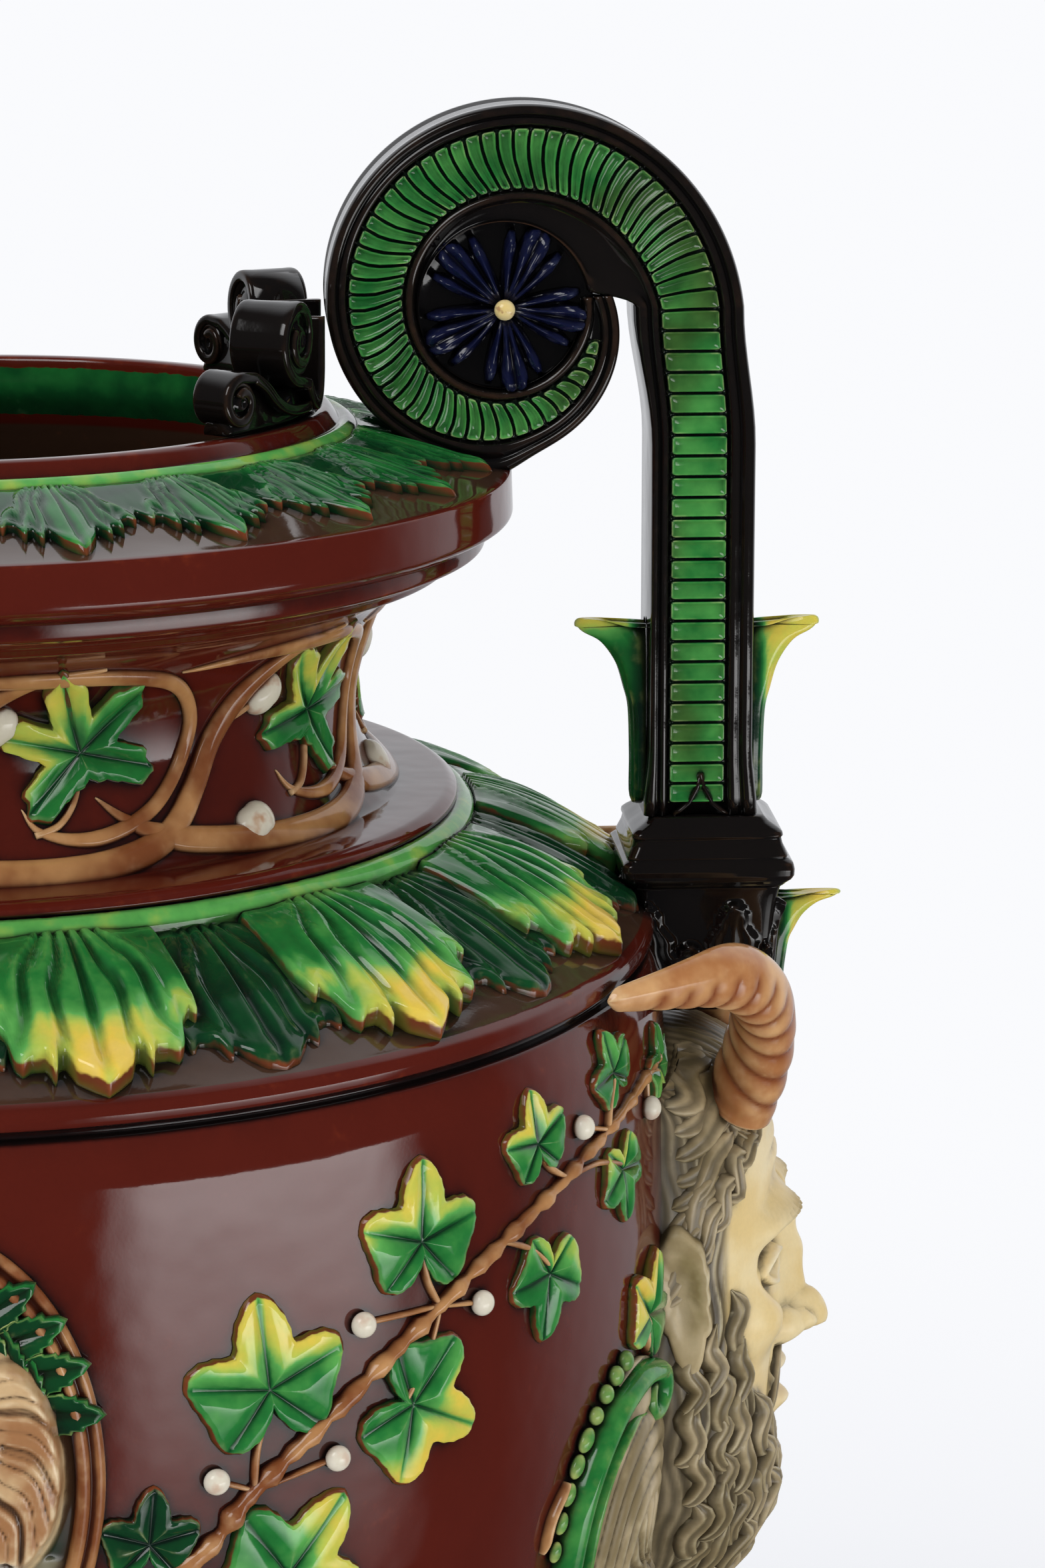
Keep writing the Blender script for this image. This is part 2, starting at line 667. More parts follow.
dark_sheet = collar(
    shoulder_point, 13, 84, 0.5, DARK_HEM, DARK_FLUTES, 0.001, 0.0022, 0.0001, dark_tint,
)
placed("shoulder_dark_leaves", dark_sheet, LEAF_GLAZE, "green_glaze")
bright_sheet = collar(
    shoulder_point, 13, 96, 0.335, BRIGHT_HEM, BRIGHT_FLUTES, 0.0024, 0.0026, 0.0012, bright_tint,
    turn=pi / 13,
)
placed("shoulder_bright_leaves", bright_sheet, LEAF_GLAZE, "green_glaze", "shoulder_leaves")

# Handles.
# A black strap with a moulded border rises from each shoulder, turns over and rolls up into a
# volute with a hollow eye. It is cast in one piece and luted to the column foot and the rim.

VOLUTE_X = 0.1618
VOLUTE_Z = RIM_Z + 0.047
STRAP_HALF = 0.016
COLUMN_OUTER = 0.07345
COLUMN_INNER = 0.04295
COLUMN_LENGTH = 0.1505
COLUMN_BLEND = 0.04
LAST_TURN = 1.018
EYE = 0.025


def black_colours(tree):
    """Manganese black that breaks to brown on the arrises."""
    thin = blend(tree, noise(tree, 45), (0.012, 0.009, 0.007), (0.06, 0.026, 0.012))
    return (0.0062, 0.0048, 0.0042), thin, (0.0022, 0.002, 0.002)


BLACK = glazed("black_glaze", black_colours, 0.075, patchiness=0.3, wave=0.0006)


def bell(value, centre, width):
    return math.exp(-(((value - centre) / width) ** 2))


def strap_outer(turns):
    """Radius of the strap's outer edge about the eye; it swells where it sits on the rim."""
    fade = 1 - turns - 0.065 * sin(tau * turns)
    return 0.0325 + 0.0371 * fade + 0.0045 * bell(turns, 0.735, 0.035)


def ladder_outer(turns):
    return 0.0268 + 0.0358 * (1 - turns - 0.065 * sin(tau * turns))


def ladder_inner(turns):
    return 0.0257 + 0.0196 * math.exp(-3.6 * turns)


def down_column(start, end, drop):
    return start + (end - start) * ease(drop / COLUMN_BLEND)


def skin(rings, layers=(), ends=True):
    """A fine grid whose rows follow closed rings of points, each with values for the layers."""
    around = len(rings[0])
    along = len(rings) - 1
    bm = grid(along, around)
    stores = [store(bm, layer) for layer in layers]
    for vert in bm.verts:
        point = rings[round((vert.co.x + 0.5) * along)][round((vert.co.y + 0.5) * around) % around]
        vert.co = point[:3]
        for layer, value in zip(stores, point[3:]):
            vert[layer] = value
    bmesh.ops.remove_doubles(bm, verts=bm.verts, dist=0.000001)
    if ends:
        bmesh.ops.holes_fill(bm, edges=[edge for edge in bm.edges if edge.is_boundary])
    return bm


def placed_copy(bm, side, facing=1):
    """A copy of a piece drawn at the right and back, mirrored to its own side and face."""
    twin = bm.copy()
    for vert in twin.verts:
        vert.co.x *= side
        vert.co.y *= facing
    return twin


SIDES = ((1, "right"), (-1, "left"))
FACES = ((-1, "front"), (1, "back"))
CORNERS = [(side, facing, face + "_" + name) for side, name in SIDES for facing, face in FACES]

COLUMN_BED = (
    (0, 0.0142), (0.08, 0.0143), (0.16, 0.0156), (0.3, 0.016), (0.55, 0.016), (0.8, 0.0157), (0.93, 0.015),
    (1, 0.014), (1, 0),
)
EYE_BED = (
    (0, 0.0136), (0.35, 0.013), (0.7, 0.0126), (0.86, 0.0128), (0.9, 0.014), (0.94, 0.0144), (0.975, 0.014),
    (1, 0.0122), (1, 0),
)


def strap_half(outer, ladder_out, ladder_in, inner, field):
    """Distances and half depths across one face, from the outer arris to the inner wall.

    The border inside the channel goes from the column's plain one (field 0) to the eye's bed (1).
    """
    scale = (outer - ladder_out) / 0.0082
    border = (
        (0, 0), (0.0012, 0.009), (0.0011, 0.0102), (0, 0.0112), (0, 0.0138), (0.0006, 0.0154),
        (0.0015, 0.016), (0.003, 0.016), (0.0035, 0.0156), (0.0039, 0.0146), (0.0044, 0.0146),
        (0.0049, 0.0152), (0.0062, 0.0153), (0.007, 0.015), (0.0076, 0.014), (0.0082, 0.013),
    )
    row = [(outer - place * scale, depth) for place, depth in border]
    row += [(ladder_in + (ladder_out - ladder_in) * s, 0.013) for s in (0.67, 0.33)]
    row += [(ladder_in, 0.013), (ladder_in - 0.0006, 0.0144), (ladder_in - 0.0012, 0.0153)]
    row += [(ladder_in - 0.0021, 0.0154), (ladder_in - 0.0028, 0.0146)]
    start = ladder_in - 0.0034
    for plain, eye in zip(COLUMN_BED, EYE_BED):
        share, depth = Vector(plain).lerp(Vector(eye), field)
        row.append((start + (inner - start) * share, depth))
    return row


def strap_ring(row, turn_x, turn_z):
    """Closed ring of a station: its front half and its back half, about the eye."""
    ring = [(turn_x(reach), -depth, turn_z(reach)) for reach, depth in row]
    ring += [(turn_x(reach), depth, turn_z(reach)) for reach, depth in reversed(row[1:-1])]
    return [(VOLUTE_X + x, y, VOLUTE_Z + z) for x, y, z in ring]


strap_rings = []
for i in range(31):
    drop = COLUMN_LENGTH * (1 - i / 30)
    flare = 0.0016 * ease((drop - 0.13) / 0.0205)
    row = strap_half(
        down_column(strap_outer(0), COLUMN_OUTER, drop) + flare,
        down_column(ladder_outer(0), 0.06525, drop),
        down_column(ladder_inner(0), 0.04865, drop),
        down_column(COLUMN_INNER - 0.0049, COLUMN_INNER, drop) - flare,
        0,
    )
    strap_rings.append(strap_ring(row, lambda reach: reach, lambda reach: -drop))
for i in range(221):
    turns = LAST_TURN * i / 220 + 0.0004
    inner = min(EYE - 0.0004, ladder_inner(turns) - 0.004)
    inner += (COLUMN_INNER - 0.0049 - inner) * (1 - ease(turns / 0.032))
    row = strap_half(strap_outer(turns), ladder_outer(turns), ladder_inner(turns), inner, ease(turns / 0.07))
    cosine, sine = cos(tau * turns), sin(tau * turns)
    strap_rings.append(strap_ring(row, lambda reach: reach * cosine, lambda reach: reach * sine))
strap = skin(strap_rings)

EYE_DISH = ((0, 0), (0.0262, 0), (0.0262, 0.0118), (0.024, 0.0104), (0.0215, 0.01), (0.015, 0.0098), (0, 0.0098))


def circled(profile, count, point):
    """Rings of a profile of pairs taken round in steps; point(cosine, sine, first, second) places each."""
    angles = [tau * i / count for i in range(count + 1)]
    return [[point(cos(angle), sin(angle), *pair) for pair in profile] for angle in angles]


eye_disc = skin(circled(EYE_DISH, 72, lambda cosine, sine, reach, depth: (
    VOLUTE_X + reach * cosine, depth, VOLUTE_Z + reach * sine,
)), ends=False)

TONGUE = ((-0.008, 0), (-0.0062, 0.0012), (-0.0034, 0.0036), (-0.001, 0.0082), (0, 0.0125))


def on_column(x, z, depth):
    """Point of a piece drawn on the column's face: x across from its middle, z up from its foot."""
    return VOLUTE_X + 0.0582 + x, depth, VOLUTE_Z - COLUMN_LENGTH + z


def followed(path):
    """Each point of a flat path with its share of the way, the way to its left, and its span."""
    last = len(path) - 1
    for i, (x, y) in enumerate(path):
        ahead, behind = path[min(i + 1, last)], path[max(i - 1, 0)]
        long = hypot(ahead[0] - behind[0], ahead[1] - behind[1]) or 1
        yield i / last, x, y, -(ahead[1] - behind[1]) / long, (ahead[0] - behind[0]) / long, long


def tongue(half):
    """One side (-1 or 1) of the tongue over the column's foot: a thin rounded bar up to the point."""
    rings = []
    base = STRAP_HALF - 0.0024
    for share, x, z, side_x, side_z, long in followed([(half * x, z) for x, z in TONGUE]):
        ring = []
        for k in range(7):
            flat, rise = 0.0009 * cos(pi * k / 6), 0.0016 * sin(pi * k / 6)
            ring.append(on_column(x + side_x * flat, z + side_z * flat, base + rise))
        rings.append(ring + [on_column(x, z, base - 0.001)])
    return skin(rings)


for side, name in SIDES:
    placed("handle_strap_" + name, placed_copy(strap, side), BLACK, "black_glaze", "handle_" + name, reach=0.001)
    for facing, face in FACES:
        label = face + "_" + name
        placed("eye_bed_" + label, placed_copy(eye_disc, side, facing), BLACK, "black_glaze")
        placed("tongue_in_" + label, placed_copy(tongue(-1), side, facing), BLACK, "black_glaze")
        placed("tongue_out_" + label, placed_copy(tongue(1), side, facing), BLACK, "black_glaze")

# Ribbed channels of the handles.
# Each face of a strap has a channel of small green tiles in one strip: straight on the column, and
# leaning like feathers round the volute. The glaze is thin and yellowish on every raised edge.

RIB_PITCH = 0.0061
CHANNEL_FLOOR = 0.0132
TILE_EDGE = ((0, 0), (0.0002, 0.55), (0.00045, 1), (0.0008, 0.84), (0.0016, 0.42), (0.003, 0.34))
TILE_STEPS = (0, 0.05, 0.085, 0.12, 0.16, 0.22, 0.32, 0.5, 0.68, 0.78, 0.84, 0.88, 0.915, 0.95)
CHANNEL_STEPS = (0, 0.012, 0.03, 0.05, 0.085, 0.15, 0.3, 0.5, 0.7, 0.85, 0.915, 0.95, 0.97, 0.988, 1)


def channel_ends(position):
    """Inner and outer (x, z) of the channel at a length from the foot of the column."""
    if position <= COLUMN_LENGTH:
        drop = COLUMN_LENGTH - position
        low = down_column(ladder_inner(0), 0.04865, drop)
        return Vector((low, -drop)), Vector((down_column(ladder_outer(0), 0.06525, drop), -drop))
    turns = turn_table[min(int((position - COLUMN_LENGTH) / 0.0002), len(turn_table) - 1)]
    way = Vector((cos(tau * turns), sin(tau * turns)))
    return way * ladder_inner(turns), way * ladder_outer(turns)


turn_table = [0]
while turn_table[-1] < 0.955:
    turn_table.append(turn_table[-1] + 0.0002 / (tau * ladder_outer(turn_table[-1])))
channel_length = COLUMN_LENGTH + 0.0002 * len(turn_table)
# The tiles stand a fifth closer on the volute than on the column.
tile_starts = [0.0035]
while tile_starts[-1] < channel_length - RIB_PITCH:
    closer = 1 - 0.2 * ease((tile_starts[-1] - COLUMN_LENGTH) / 0.03)
    tile_starts.append(tile_starts[-1] + RIB_PITCH * closer)
stations = [(low, high - low, phase) for low, high in zip(tile_starts, tile_starts[1:]) for phase in TILE_STEPS]
stations.append((tile_starts[-1], RIB_PITCH, 0))
ladder_rings = []
for low, tile_pitch, phase in stations:
    base = low + phase * tile_pitch
    curl = ease((base - COLUMN_LENGTH + 0.01) / 0.05)
    ring = []
    wide = (channel_ends(base)[1] - channel_ends(base)[0]).length
    for across in CHANNEL_STEPS:
        bow = 0.0022 * sin(pi * across)
        lag = curl * min(wide / 0.0166, 1) * (0.006 * (1 - across) - bow)
        inner, outer = channel_ends(max(base - lag, 0))
        spot = inner.lerp(outer, across)
        from_end = min(across, 1 - across) * wide
        pitch = tile_pitch * (1 - 0.3 * curl * (1 - across))
        from_groove = min(phase, 1 - phase) * pitch - 0.00014
        corner = 0.0012
        if from_end < corner and from_groove < corner:
            inside = corner - hypot(corner - from_end, corner - from_groove)
        else:
            inside = min(from_end, from_groove)
        height = between(max(inside, 0), TILE_EDGE)
        tint = 0.06 + 0.42 * ease(inside / 0.0005)
        ring.append((VOLUTE_X + spot.x, CHANNEL_FLOOR + 0.0018 * height, VOLUTE_Z + spot.y, tint))
    for point in (ring[-1], ring[0]):
        ring.append((point[0], CHANNEL_FLOOR - 0.0006, point[2], 0))
    ladder_rings.append(ring)
ladder = skin(ladder_rings, ("tint",))


def tile_colours(tree):
    cloud = step(tree, noise(tree, 26, 2), 0.5, 0.72)
    green = blend(tree, math_node(tree, "MULTIPLY", cloud, 0.6), green_run(tree), (0.045, 0.04, 0.008))
    thin = blend(tree, 0.7, green, (0.62, 0.66, 0.3))
    return green, thin, (0.004, 0.01, 0.006)


TILE_GREEN = glazed("tile_glaze", tile_colours, 0.08, patch_size=120, patchiness=0.4, reach=0.0025)


def cornered(*pieces):
    """Put mirrored copies of pieces that are drawn at the right and back in all four corners."""
    for side, facing, label in CORNERS:
        for name, bm, glaze, slot, node, *reach in pieces:
            placed(name + label, placed_copy(bm, side, facing), glaze, slot, node and node + label, *reach)


cornered(("ribbed_channel_", ladder, TILE_GREEN, "green_glaze", "ladder_", 0.0006))

# Rosettes.
# A five-petalled flower pressed in dark blue glaze sits in each eye, every petal folded and lobed
# like a leaf, with a yellow bead in its middle.

PILLOW_ROWS = (0, 0.07, 0.16, 0.26, 0.37, 0.48, 0.59, 0.7, 0.8, 0.88, 0.94, 0.98, 1)


def pillow(columns, shape, under=0.0006):
    """A closed cushion of x, y and height. shape(angle, share) gives reach, height, tint and brim."""
    rows = PILLOW_ROWS
    last = len(rows) + 1
    bm = grid(columns, last)
    tints, brims = store(bm, "tint"), store(bm, "brim")
    for vert in bm.verts:
        row = round((vert.co.y + 0.5) * last)
        angle = tau * (vert.co.x + 0.5)
        share = rows[row] if row < len(rows) else (1 if row == len(rows) else 0)
        reach, height, tint, brim = shape(angle, share)
        if row >= len(rows):
            height = -under
        radius = reach * share
        vert.co = (radius * sin(angle), radius * cos(angle), height)
        vert[tints], vert[brims] = tint, brim
    bmesh.ops.remove_doubles(bm, verts=bm.verts, dist=0.000004)
    return bm


def moved(bm, place):
    """Every point (x, y, height) of a flat piece sent to place(x, y, height)."""
    for vert in bm.verts:
        vert.co = place(*vert.co)
    return bm


PETAL = thousandths(
    0, 1000, 30, 1000, 90, 960, 140, 870, 170, 750, 190, 700, 210, 750, 255, 850, 310, 850, 355, 740, 385, 600,
    410, 490, 450, 350, 500, 280,
)
PETAL_FOLDS = thousandths(
    0, 450, 25, 720, 80, 1000, 140, 700, 190, 50, 240, 700, 290, 950, 345, 600, 390, 200, 500, 0,
)
petal_hem, petal_folds = tabled(PETAL), tabled(PETAL_FOLDS)


def rosette_shape(angle, share):
    turn = angle / tau * 5 - 0.375
    across = abs(turn - round(turn))
    edge = rolled_edge(share, 0.78)
    swell = sin(pi * min(0.06 + 0.66 * share ** 0.8, 1))
    # The folds of a petal run into its foot, where only the gap between two petals is left.
    spread = between(share, ((0, 0), (0.22, 0.15), (0.5, 1), (1, 1)))
    fold = (petal_folds(across) * spread + (1 - spread) * ease((0.5 - across) / 0.16)) * swell
    cup = 0.0016 * bell(share, 0.7, 0.1) * petal_folds(across)
    lip = 0.0014 * bell(share, 0.9, 0.05) * petal_folds(across)
    height = 0.001 + (0.0006 + 0.0042 * fold + 0.0014 * swell - cup + lip) * edge
    return 0.0264 * petal_hem(across), height, fold, 0


rosette = pillow(300, rosette_shape, 0)


def blue_colours(tree):
    """Cobalt blue, nearly black where it is thick, with a few brown and grey places."""
    body = blend(tree, step(tree, attribute(tree, "tint"), 0.1, 0.9), (0.003, 0.003, 0.006), (0.005, 0.007, 0.032))
    return body, (0.04, 0.048, 0.085), (0.002, 0.002, 0.004)


BLUE = glazed("blue_glaze", blue_colours, 0.1, patch_size=50, reach=0.003)


def mottled(tree, scale, low, high, first, second):
    """Two colours that go over into each other in clouds."""
    return blend(tree, step(tree, noise(tree, scale), low, high), first, second)


def bead_colours(tree):
    """Yellow with brown stains."""
    yellow = mottled(tree, 420, 0.52, 0.66, (0.78, 0.58, 0.2), (0.42, 0.19, 0.05))
    return yellow, (0.8, 0.7, 0.42), (0.25, 0.12, 0.03)


BEAD = glazed("bead_glaze", bead_colours, 0.12, reach=0.002)


def ball(radius, around, up, stretch, place, turn=0):
    """A ball stretched along the axes, turned about Z and set in its place."""
    bm = bmesh.new()
    bmesh.ops.create_uvsphere(bm, u_segments=around, v_segments=up, radius=radius)
    bmesh.ops.scale(bm, vec=stretch, verts=bm.verts)
    bmesh.ops.rotate(bm, verts=bm.verts, matrix=Matrix.Rotation(turn, 3, "Z"))
    bmesh.ops.translate(bm, vec=place, verts=bm.verts)
    return bm


for side, facing, label in CORNERS:
    flower = placed_copy(rosette, 1)
    moved(flower, lambda x, y, h: (side * (VOLUTE_X + x), facing * (0.0102 + h), VOLUTE_Z + y))
    placed("rosette_petals_" + label, flower, BLUE, "blue_glaze", "rosette_" + label, reach=0.0009)
    bead = ball(0.003, 32, 20, (1, 0.8, 1), (side * VOLUTE_X, facing * 0.018, VOLUTE_Z))
    placed("rosette_bead_" + label, bead, BEAD, "blue_glaze")

# Column feet and capitals.
# Under each column is a stepped block with rolled edges, on a small tapering capital wrapped in two
# rows of acanthus tips. Both are pressed in moulds and glazed black.

CAPITAL_TOP_Z = RIM_Z - 0.1246
CAPITAL_BOTTOM_Z = CAPITAL_TOP_Z - 0.038
FOOT_X = VOLUTE_X + 0.0582 + 0.0018


def squared(half_width, half_depth, corner, steps=40):
    """Ring of (x, y) points of a rectangle with rounded corners, each with its way out."""
    ring = []
    corners = ((1, 1), (-1, 1), (-1, -1), (1, -1), (1, 1))
    for i in range(4):
        for k in range(steps // 2):
            share = k / (steps // 2)
            angle = (i + min(share / 0.34, 1)) * pi / 2
            along = max((share - 0.34) / 0.66, 0)
            x, y = (here + (there - here) * along for here, there in zip(corners[i], corners[i + 1]))
            out_x, out_y = cos(angle), sin(angle)
            ring.append((
                x * (half_width - corner) + corner * out_x, y * (half_depth - corner) + corner * out_y, out_x, out_y,
            ))
    return ring


BLOCK = (
    (0, 16.9, 16.6), (1.6, 18.4, 17.8), (3.4, 21.2, 19.4), (4.4, 22.3, 20.2), (5.4, 22.5, 20.4), (6.2, 22, 20),
    (8, 22.4, 20.4), (10.2, 23.4, 21.2), (11.4, 23.9, 21.6), (12, 23.6, 21.4), (12.5, 24.4, 22),
    (13.4, 25.4, 22.7), (15.2, 25.8, 23), (17.2, 25.7, 22.9), (18.4, 25, 22.3), (19.6, 23.6, 21.2),
    (20.5, 22.8, 20.5),
)
block_wide = tabled([(drop, wide) for drop, wide, deep in BLOCK], soft=False)
block_deep = tabled([(drop, deep) for drop, wide, deep in BLOCK], soft=False)
block_top = RIM_Z - 0.1035 - 0.0003
rings = []
for i in range(61):
    drop = 20.5 * i / 60
    ring = squared(block_wide(drop) * MM, block_deep(drop) * MM, 0.003)
    rings.append([(FOOT_X + x, y, block_top - drop * MM) for x, y, out_x, out_y in ring])
block = skin(rings)


def tip_relief(run, share):
    """Height of the capital's leaves: run goes round in leaves, share down from the top."""
    high = 0
    for shift, top, width in ((0, 0.1, 0.5), (0.5, 0.44, 0.46)):
        across = abs((run + shift) - round(run + shift))
        down = (share - top) / (1 - top)
        if down <= 0:
            continue
        reach = width * min(1, 0.1 + 1.35 * down) * (1 - 0.1 * cos(26 * down))
        inside = 1 - across / reach
        if inside <= 0:
            continue
        curl = bell(down, 0.04, 0.16)
        rib = 0.5 + 0.5 * cos(across / reach * 3 * pi)
        rise = ease(inside * 4) * (0.00085 + 0.0007 * rib + 0.0017 * curl) * ease(down * 14)
        high = max(high, rise)
    return high


rings = []
for i in range(65):
    share = i / 64
    taper = 1 - 0.17 * sqrt(share)
    ring = squared(0.0226 * taper, 0.0198 * taper, 0.0034, steps=88)
    last = len(ring)
    row = []
    for k, (x, y, out_x, out_y) in enumerate(ring):
        rise = tip_relief(8 * k / last + 0.36, share)
        row.append((FOOT_X + x + out_x * rise, y + out_y * rise, CAPITAL_TOP_Z - 0.038 * share, rise))
    rings.append(row)
capital = skin(rings, ("tint",))
for side, name in SIDES:
    placed("column_block_" + name, placed_copy(block, side), BLACK, "black_glaze", "column_base_" + name)
    placed(
        "acanthus_capital_" + name, placed_copy(capital, side), BLACK, "black_glaze", "capital_" + name, reach=0.001,
    )

# Spurs.
# Long pointed leaves climb the sides of the columns and the outer side of each capital and curl
# away at their tips. They are pressed separately; the glaze runs from green to yellow.


def flowing(points, steps=9):
    """A smooth path through flat points, with an even number of steps between them."""
    path = []
    for i in range(len(points) - 1):
        p0, p1, p2 = points[max(i - 1, 0)], points[i], points[i + 1]
        p3 = points[min(i + 2, len(points) - 1)]
        for k in range(steps):
            s = k / steps
            path.append(tuple(
                0.5 * (2 * b + (c - a) * s + (2 * a - 5 * b + 4 * c - d) * s * s + (3 * b - a - 3 * c + d) * s ** 3)
                for a, b, c, d in zip(p0, p1, p2, p3)
            ))
    return path + [tuple(points[-1])]


def spur_leaf(height, reach, half_depth, thickness, base_x, base_z, lean, warm):
    """A leaf that flares away from a leaning wall to a round tip. warm is where it turns yellow."""
    tip = thickness + reach
    contour = flowing([
        (thickness * 0.3, 0), (thickness * 0.92, 0.02), (thickness * 0.96, 0.25), (thickness * 1.08, 0.5),
        (thickness + reach * 0.12, 0.62), (thickness + reach * 0.28, 0.76), (thickness + reach * 0.56, 0.872),
        (tip * 0.9, 0.922), (tip * 0.985, 0.95), (tip, 0.974), (tip * 0.97, 0.993), (tip * 0.89, 1),
        (tip * 0.66, 0.988), (tip * 0.35, 0.962), (tip * 0.04, 0.962),
    ], 5)
    rings = []
    top = False
    for out, share in contour:
        top = top or out > tip * 0.99
        wall = base_x + lean * min(share, 1)
        spread = min(max((out - thickness) / reach, 0), 1)
        depth = half_depth * (1 - 0.3 * share ** 2 - 0.38 * spread ** 1.5) * ease(share * 12 + 0.4)
        warmth = 0.24 + 0.12 * bell(share, 0.3, 0.3) + 0.56 * ease((share - warm) / 0.22)
        ring = []
        for k in range(27):
            angle = pi * (k / 26 - 0.5)
            across, bulge = sin(angle), max(cos(angle), 0) ** 0.62
            rib = 0.0004 * cos(across * 15) * (1 - spread) - (0 if top else 0.001 * bell(across, 0, 0.25))
            sag = (0.0016 * (1 - bulge) if top else -0.001 * (1 - bulge)) * spread
            tint = warmth * ease((bulge * out / tip - 0.06) / 0.22) + 0.02
            ring.append((wall + (out + rib) * bulge, depth * across, base_z + height * share - sag, tint))
        ring += [(wall, depth * across, base_z + height * share, 0.02) for across in (0.6, 0.2, -0.2, -0.6)]
        rings.append(ring)
    return skin(rings, ("tint",))


SPUR_GREEN = glazed(
    "spur_glaze", lambda tree: (green_run(tree), (0.46, 0.52, 0.16), (0.01, 0.016, 0.008)),
    0.09, patch_size=70, patchiness=0.3, reach=0.004,
)
spurs = (
    ("outer_spur_", (0.056, 0.0165, 0.007, 0.0044), 0.0738, VOLUTE_Z - 0.1495, 0, 1, 0.42),
    ("inner_spur_", (0.056, 0.0165, 0.007, 0.0044), 0.0003 - 0.04295, VOLUTE_Z - 0.1495, 0, -1, 0.8),
    ("capital_spur_", (0.03, 0.015, 0.007, 0.0044), 0.0805, CAPITAL_BOTTOM_Z + 0.002, 0.0027, 1, 0.3),
)
for side, name in SIDES:
    for label, size, base_x, base_z, lean, way, warm in spurs:
        leaf = spur_leaf(*size, base_x, base_z, lean, warm)
        moved(leaf, lambda x, y, z: (side * (VOLUTE_X + way * x), y, z))
        placed(label + "leaf_" + name, leaf, SPUR_GREEN, "green_glaze", label + name)

# Rim brackets.
# On each side of a volute a black strap runs down, turns along the lip and rolls up into a tall
# scroll; a second one makes a low scroll beyond it. Each is modelled by hand and luted to the lip.

LIP = 0.1115
STRAP = 3.6


def rolled(centre, radius, turns, start, way):
    """Points (run, height) in mm of a strap's middle line, from the eye of a scroll outwards."""
    points = []
    for i in range(int(turns * 40) + 1):
        share = i / int(turns * 40)
        angle = start + way * tau * turns * (share - 1)
        reach = radius * (0.3 + 0.7 * share ** 0.8)
        points.append((centre[0] + reach * cos(angle), centre[1] + reach * sin(angle)))
    return points


def softened(points):
    """Corners of a path cut off, twice over."""
    for _ in range(2):
        cut = [points[0]]
        for (a, b), (c, d) in zip(points, points[1:]):
            cut += [(a * 0.75 + c * 0.25, b * 0.75 + d * 0.25), (a * 0.25 + c * 0.75, b * 0.25 + d * 0.75)]
        points = cut + [points[-1]]
    return points


def bracket_strap(path, wide, thickness):
    """Rings round a strap that follows a path of (run, height): run, height and depth inwards."""
    rings = []
    for share, run, height, side_run, side_height, long in followed(path):
        ring = []
        for k in range(28):
            angle = tau * (k + 0.5) / 28
            across = math.copysign(abs(cos(angle)) ** 0.28, cos(angle))
            through = math.copysign(abs(sin(angle)) ** 0.55, sin(angle))
            hollow = 1 + 0.22 * abs(across) ** 4 - 0.12 * (1 - across * across)
            part = through * thickness / 2 * hollow
            ring.append((run + side_run * part, height + side_height * part, wide / 2 + wide / 2 * across))
        rings.append(ring)
    return rings


def on_lip(rings, lead=0):
    """Bend (run, height, depth) in mm round the lip, drawn at the right and back."""
    def point(run, height, depth):
        radius, angle = LIP + lead - depth * MM, run * MM / LIP
        return radius * cos(angle), radius * sin(angle), RIM_Z + height * MM

    return [[point(*spot) for spot in ring] for ring in rings]


tall_roll = rolled((44, 42), 11.7, 1.35, -pi / 2, -1)
tall_path = tall_roll + softened([
    (37, 29), (33.6, 24.8), (30.8, 22.4), (27.4, 21.7), (24.2, 23.8), (22.3, 28), (21.5, 34), (21.3, 46),
])
low_roll = rolled((76, 28.2), 7, 1.1, pi / 2, 1)
low_path = low_roll + softened([(70, 34.6), (64, 31.5), (58, 26), (50, 22.9), (41, 22.2), (35, 22.4)])
tall = skin(on_lip(bracket_strap(tall_path, 18, STRAP), 0.0006))
low = skin(on_lip(bracket_strap(low_path, 13, STRAP - 0.4)))


def plug(centre, radius, width):
    """Closed end of a roll: a dished disc with a bead in its middle, on both faces."""
    face = [(0, 0.9), (0.16, 0.8), (0.24, 0.2), (0.42, 1.5), (0.6, 1.9), (0.74, 0.9), (0.86, 0.7), (1, 1.5)]
    profile = face + [(share, width - depth) for share, depth in reversed(face)]
    return circled(profile, 40, lambda cosine, sine, share, depth: (
        centre[0] + radius * share * cosine, centre[1] + radius * share * sine, depth,
    ))


tall_plug = skin(on_lip(plug((44, 42), 10.6, 18), 0.0006), ends=False)
low_plug = skin(on_lip(plug((76, 28.2), 6.2, 13)), ends=False)
web_top = tabled(((20, 20.4), (26, 21), (33, 23.5), (38, 28), (43, 29), (50, 27), (57, 25.8),
                  (64, 31), (72, 31), (79, 27), (81, 22)))
rings = []
for i in range(50):
    run = 20.4 + 60 * i / 49
    top = web_top(run)
    rings.append([
        (run, 19.2, 2.6), (run, 20.2, 2.2), (run, top - 1, 3.4), (run, top, 5), (run, top, 9), (run, top - 1, 10.6),
        (run, 20.2, 11.4), (run, 19.2, 11.2),
    ])
web = skin(on_lip(rings))
bracket = merged([tall, low, tall_plug, low_plug, web])
cornered(("lip_bracket_", bracket, BLACK, "black_glaze", "rim_scroll_"))

# Satyr masks.
# Under each handle a bearded satyr's head swells out of the belly: press-moulded, luted on, then
# painted cream with grey-olive hair. Its features stand on plain thirds of the head's height.

MASK_TOP = RIM_Z - 0.1665
MASK_HIGH = 0.197
MASK_WIDE = 0.057
THIRD = MASK_HIGH * 0.198
BROW = MASK_TOP - MASK_HIGH * 0.125 - THIRD
NOSE = BROW - THIRD
MOUTH = NOSE - THIRD * 0.36
CHIN = NOSE - THIRD


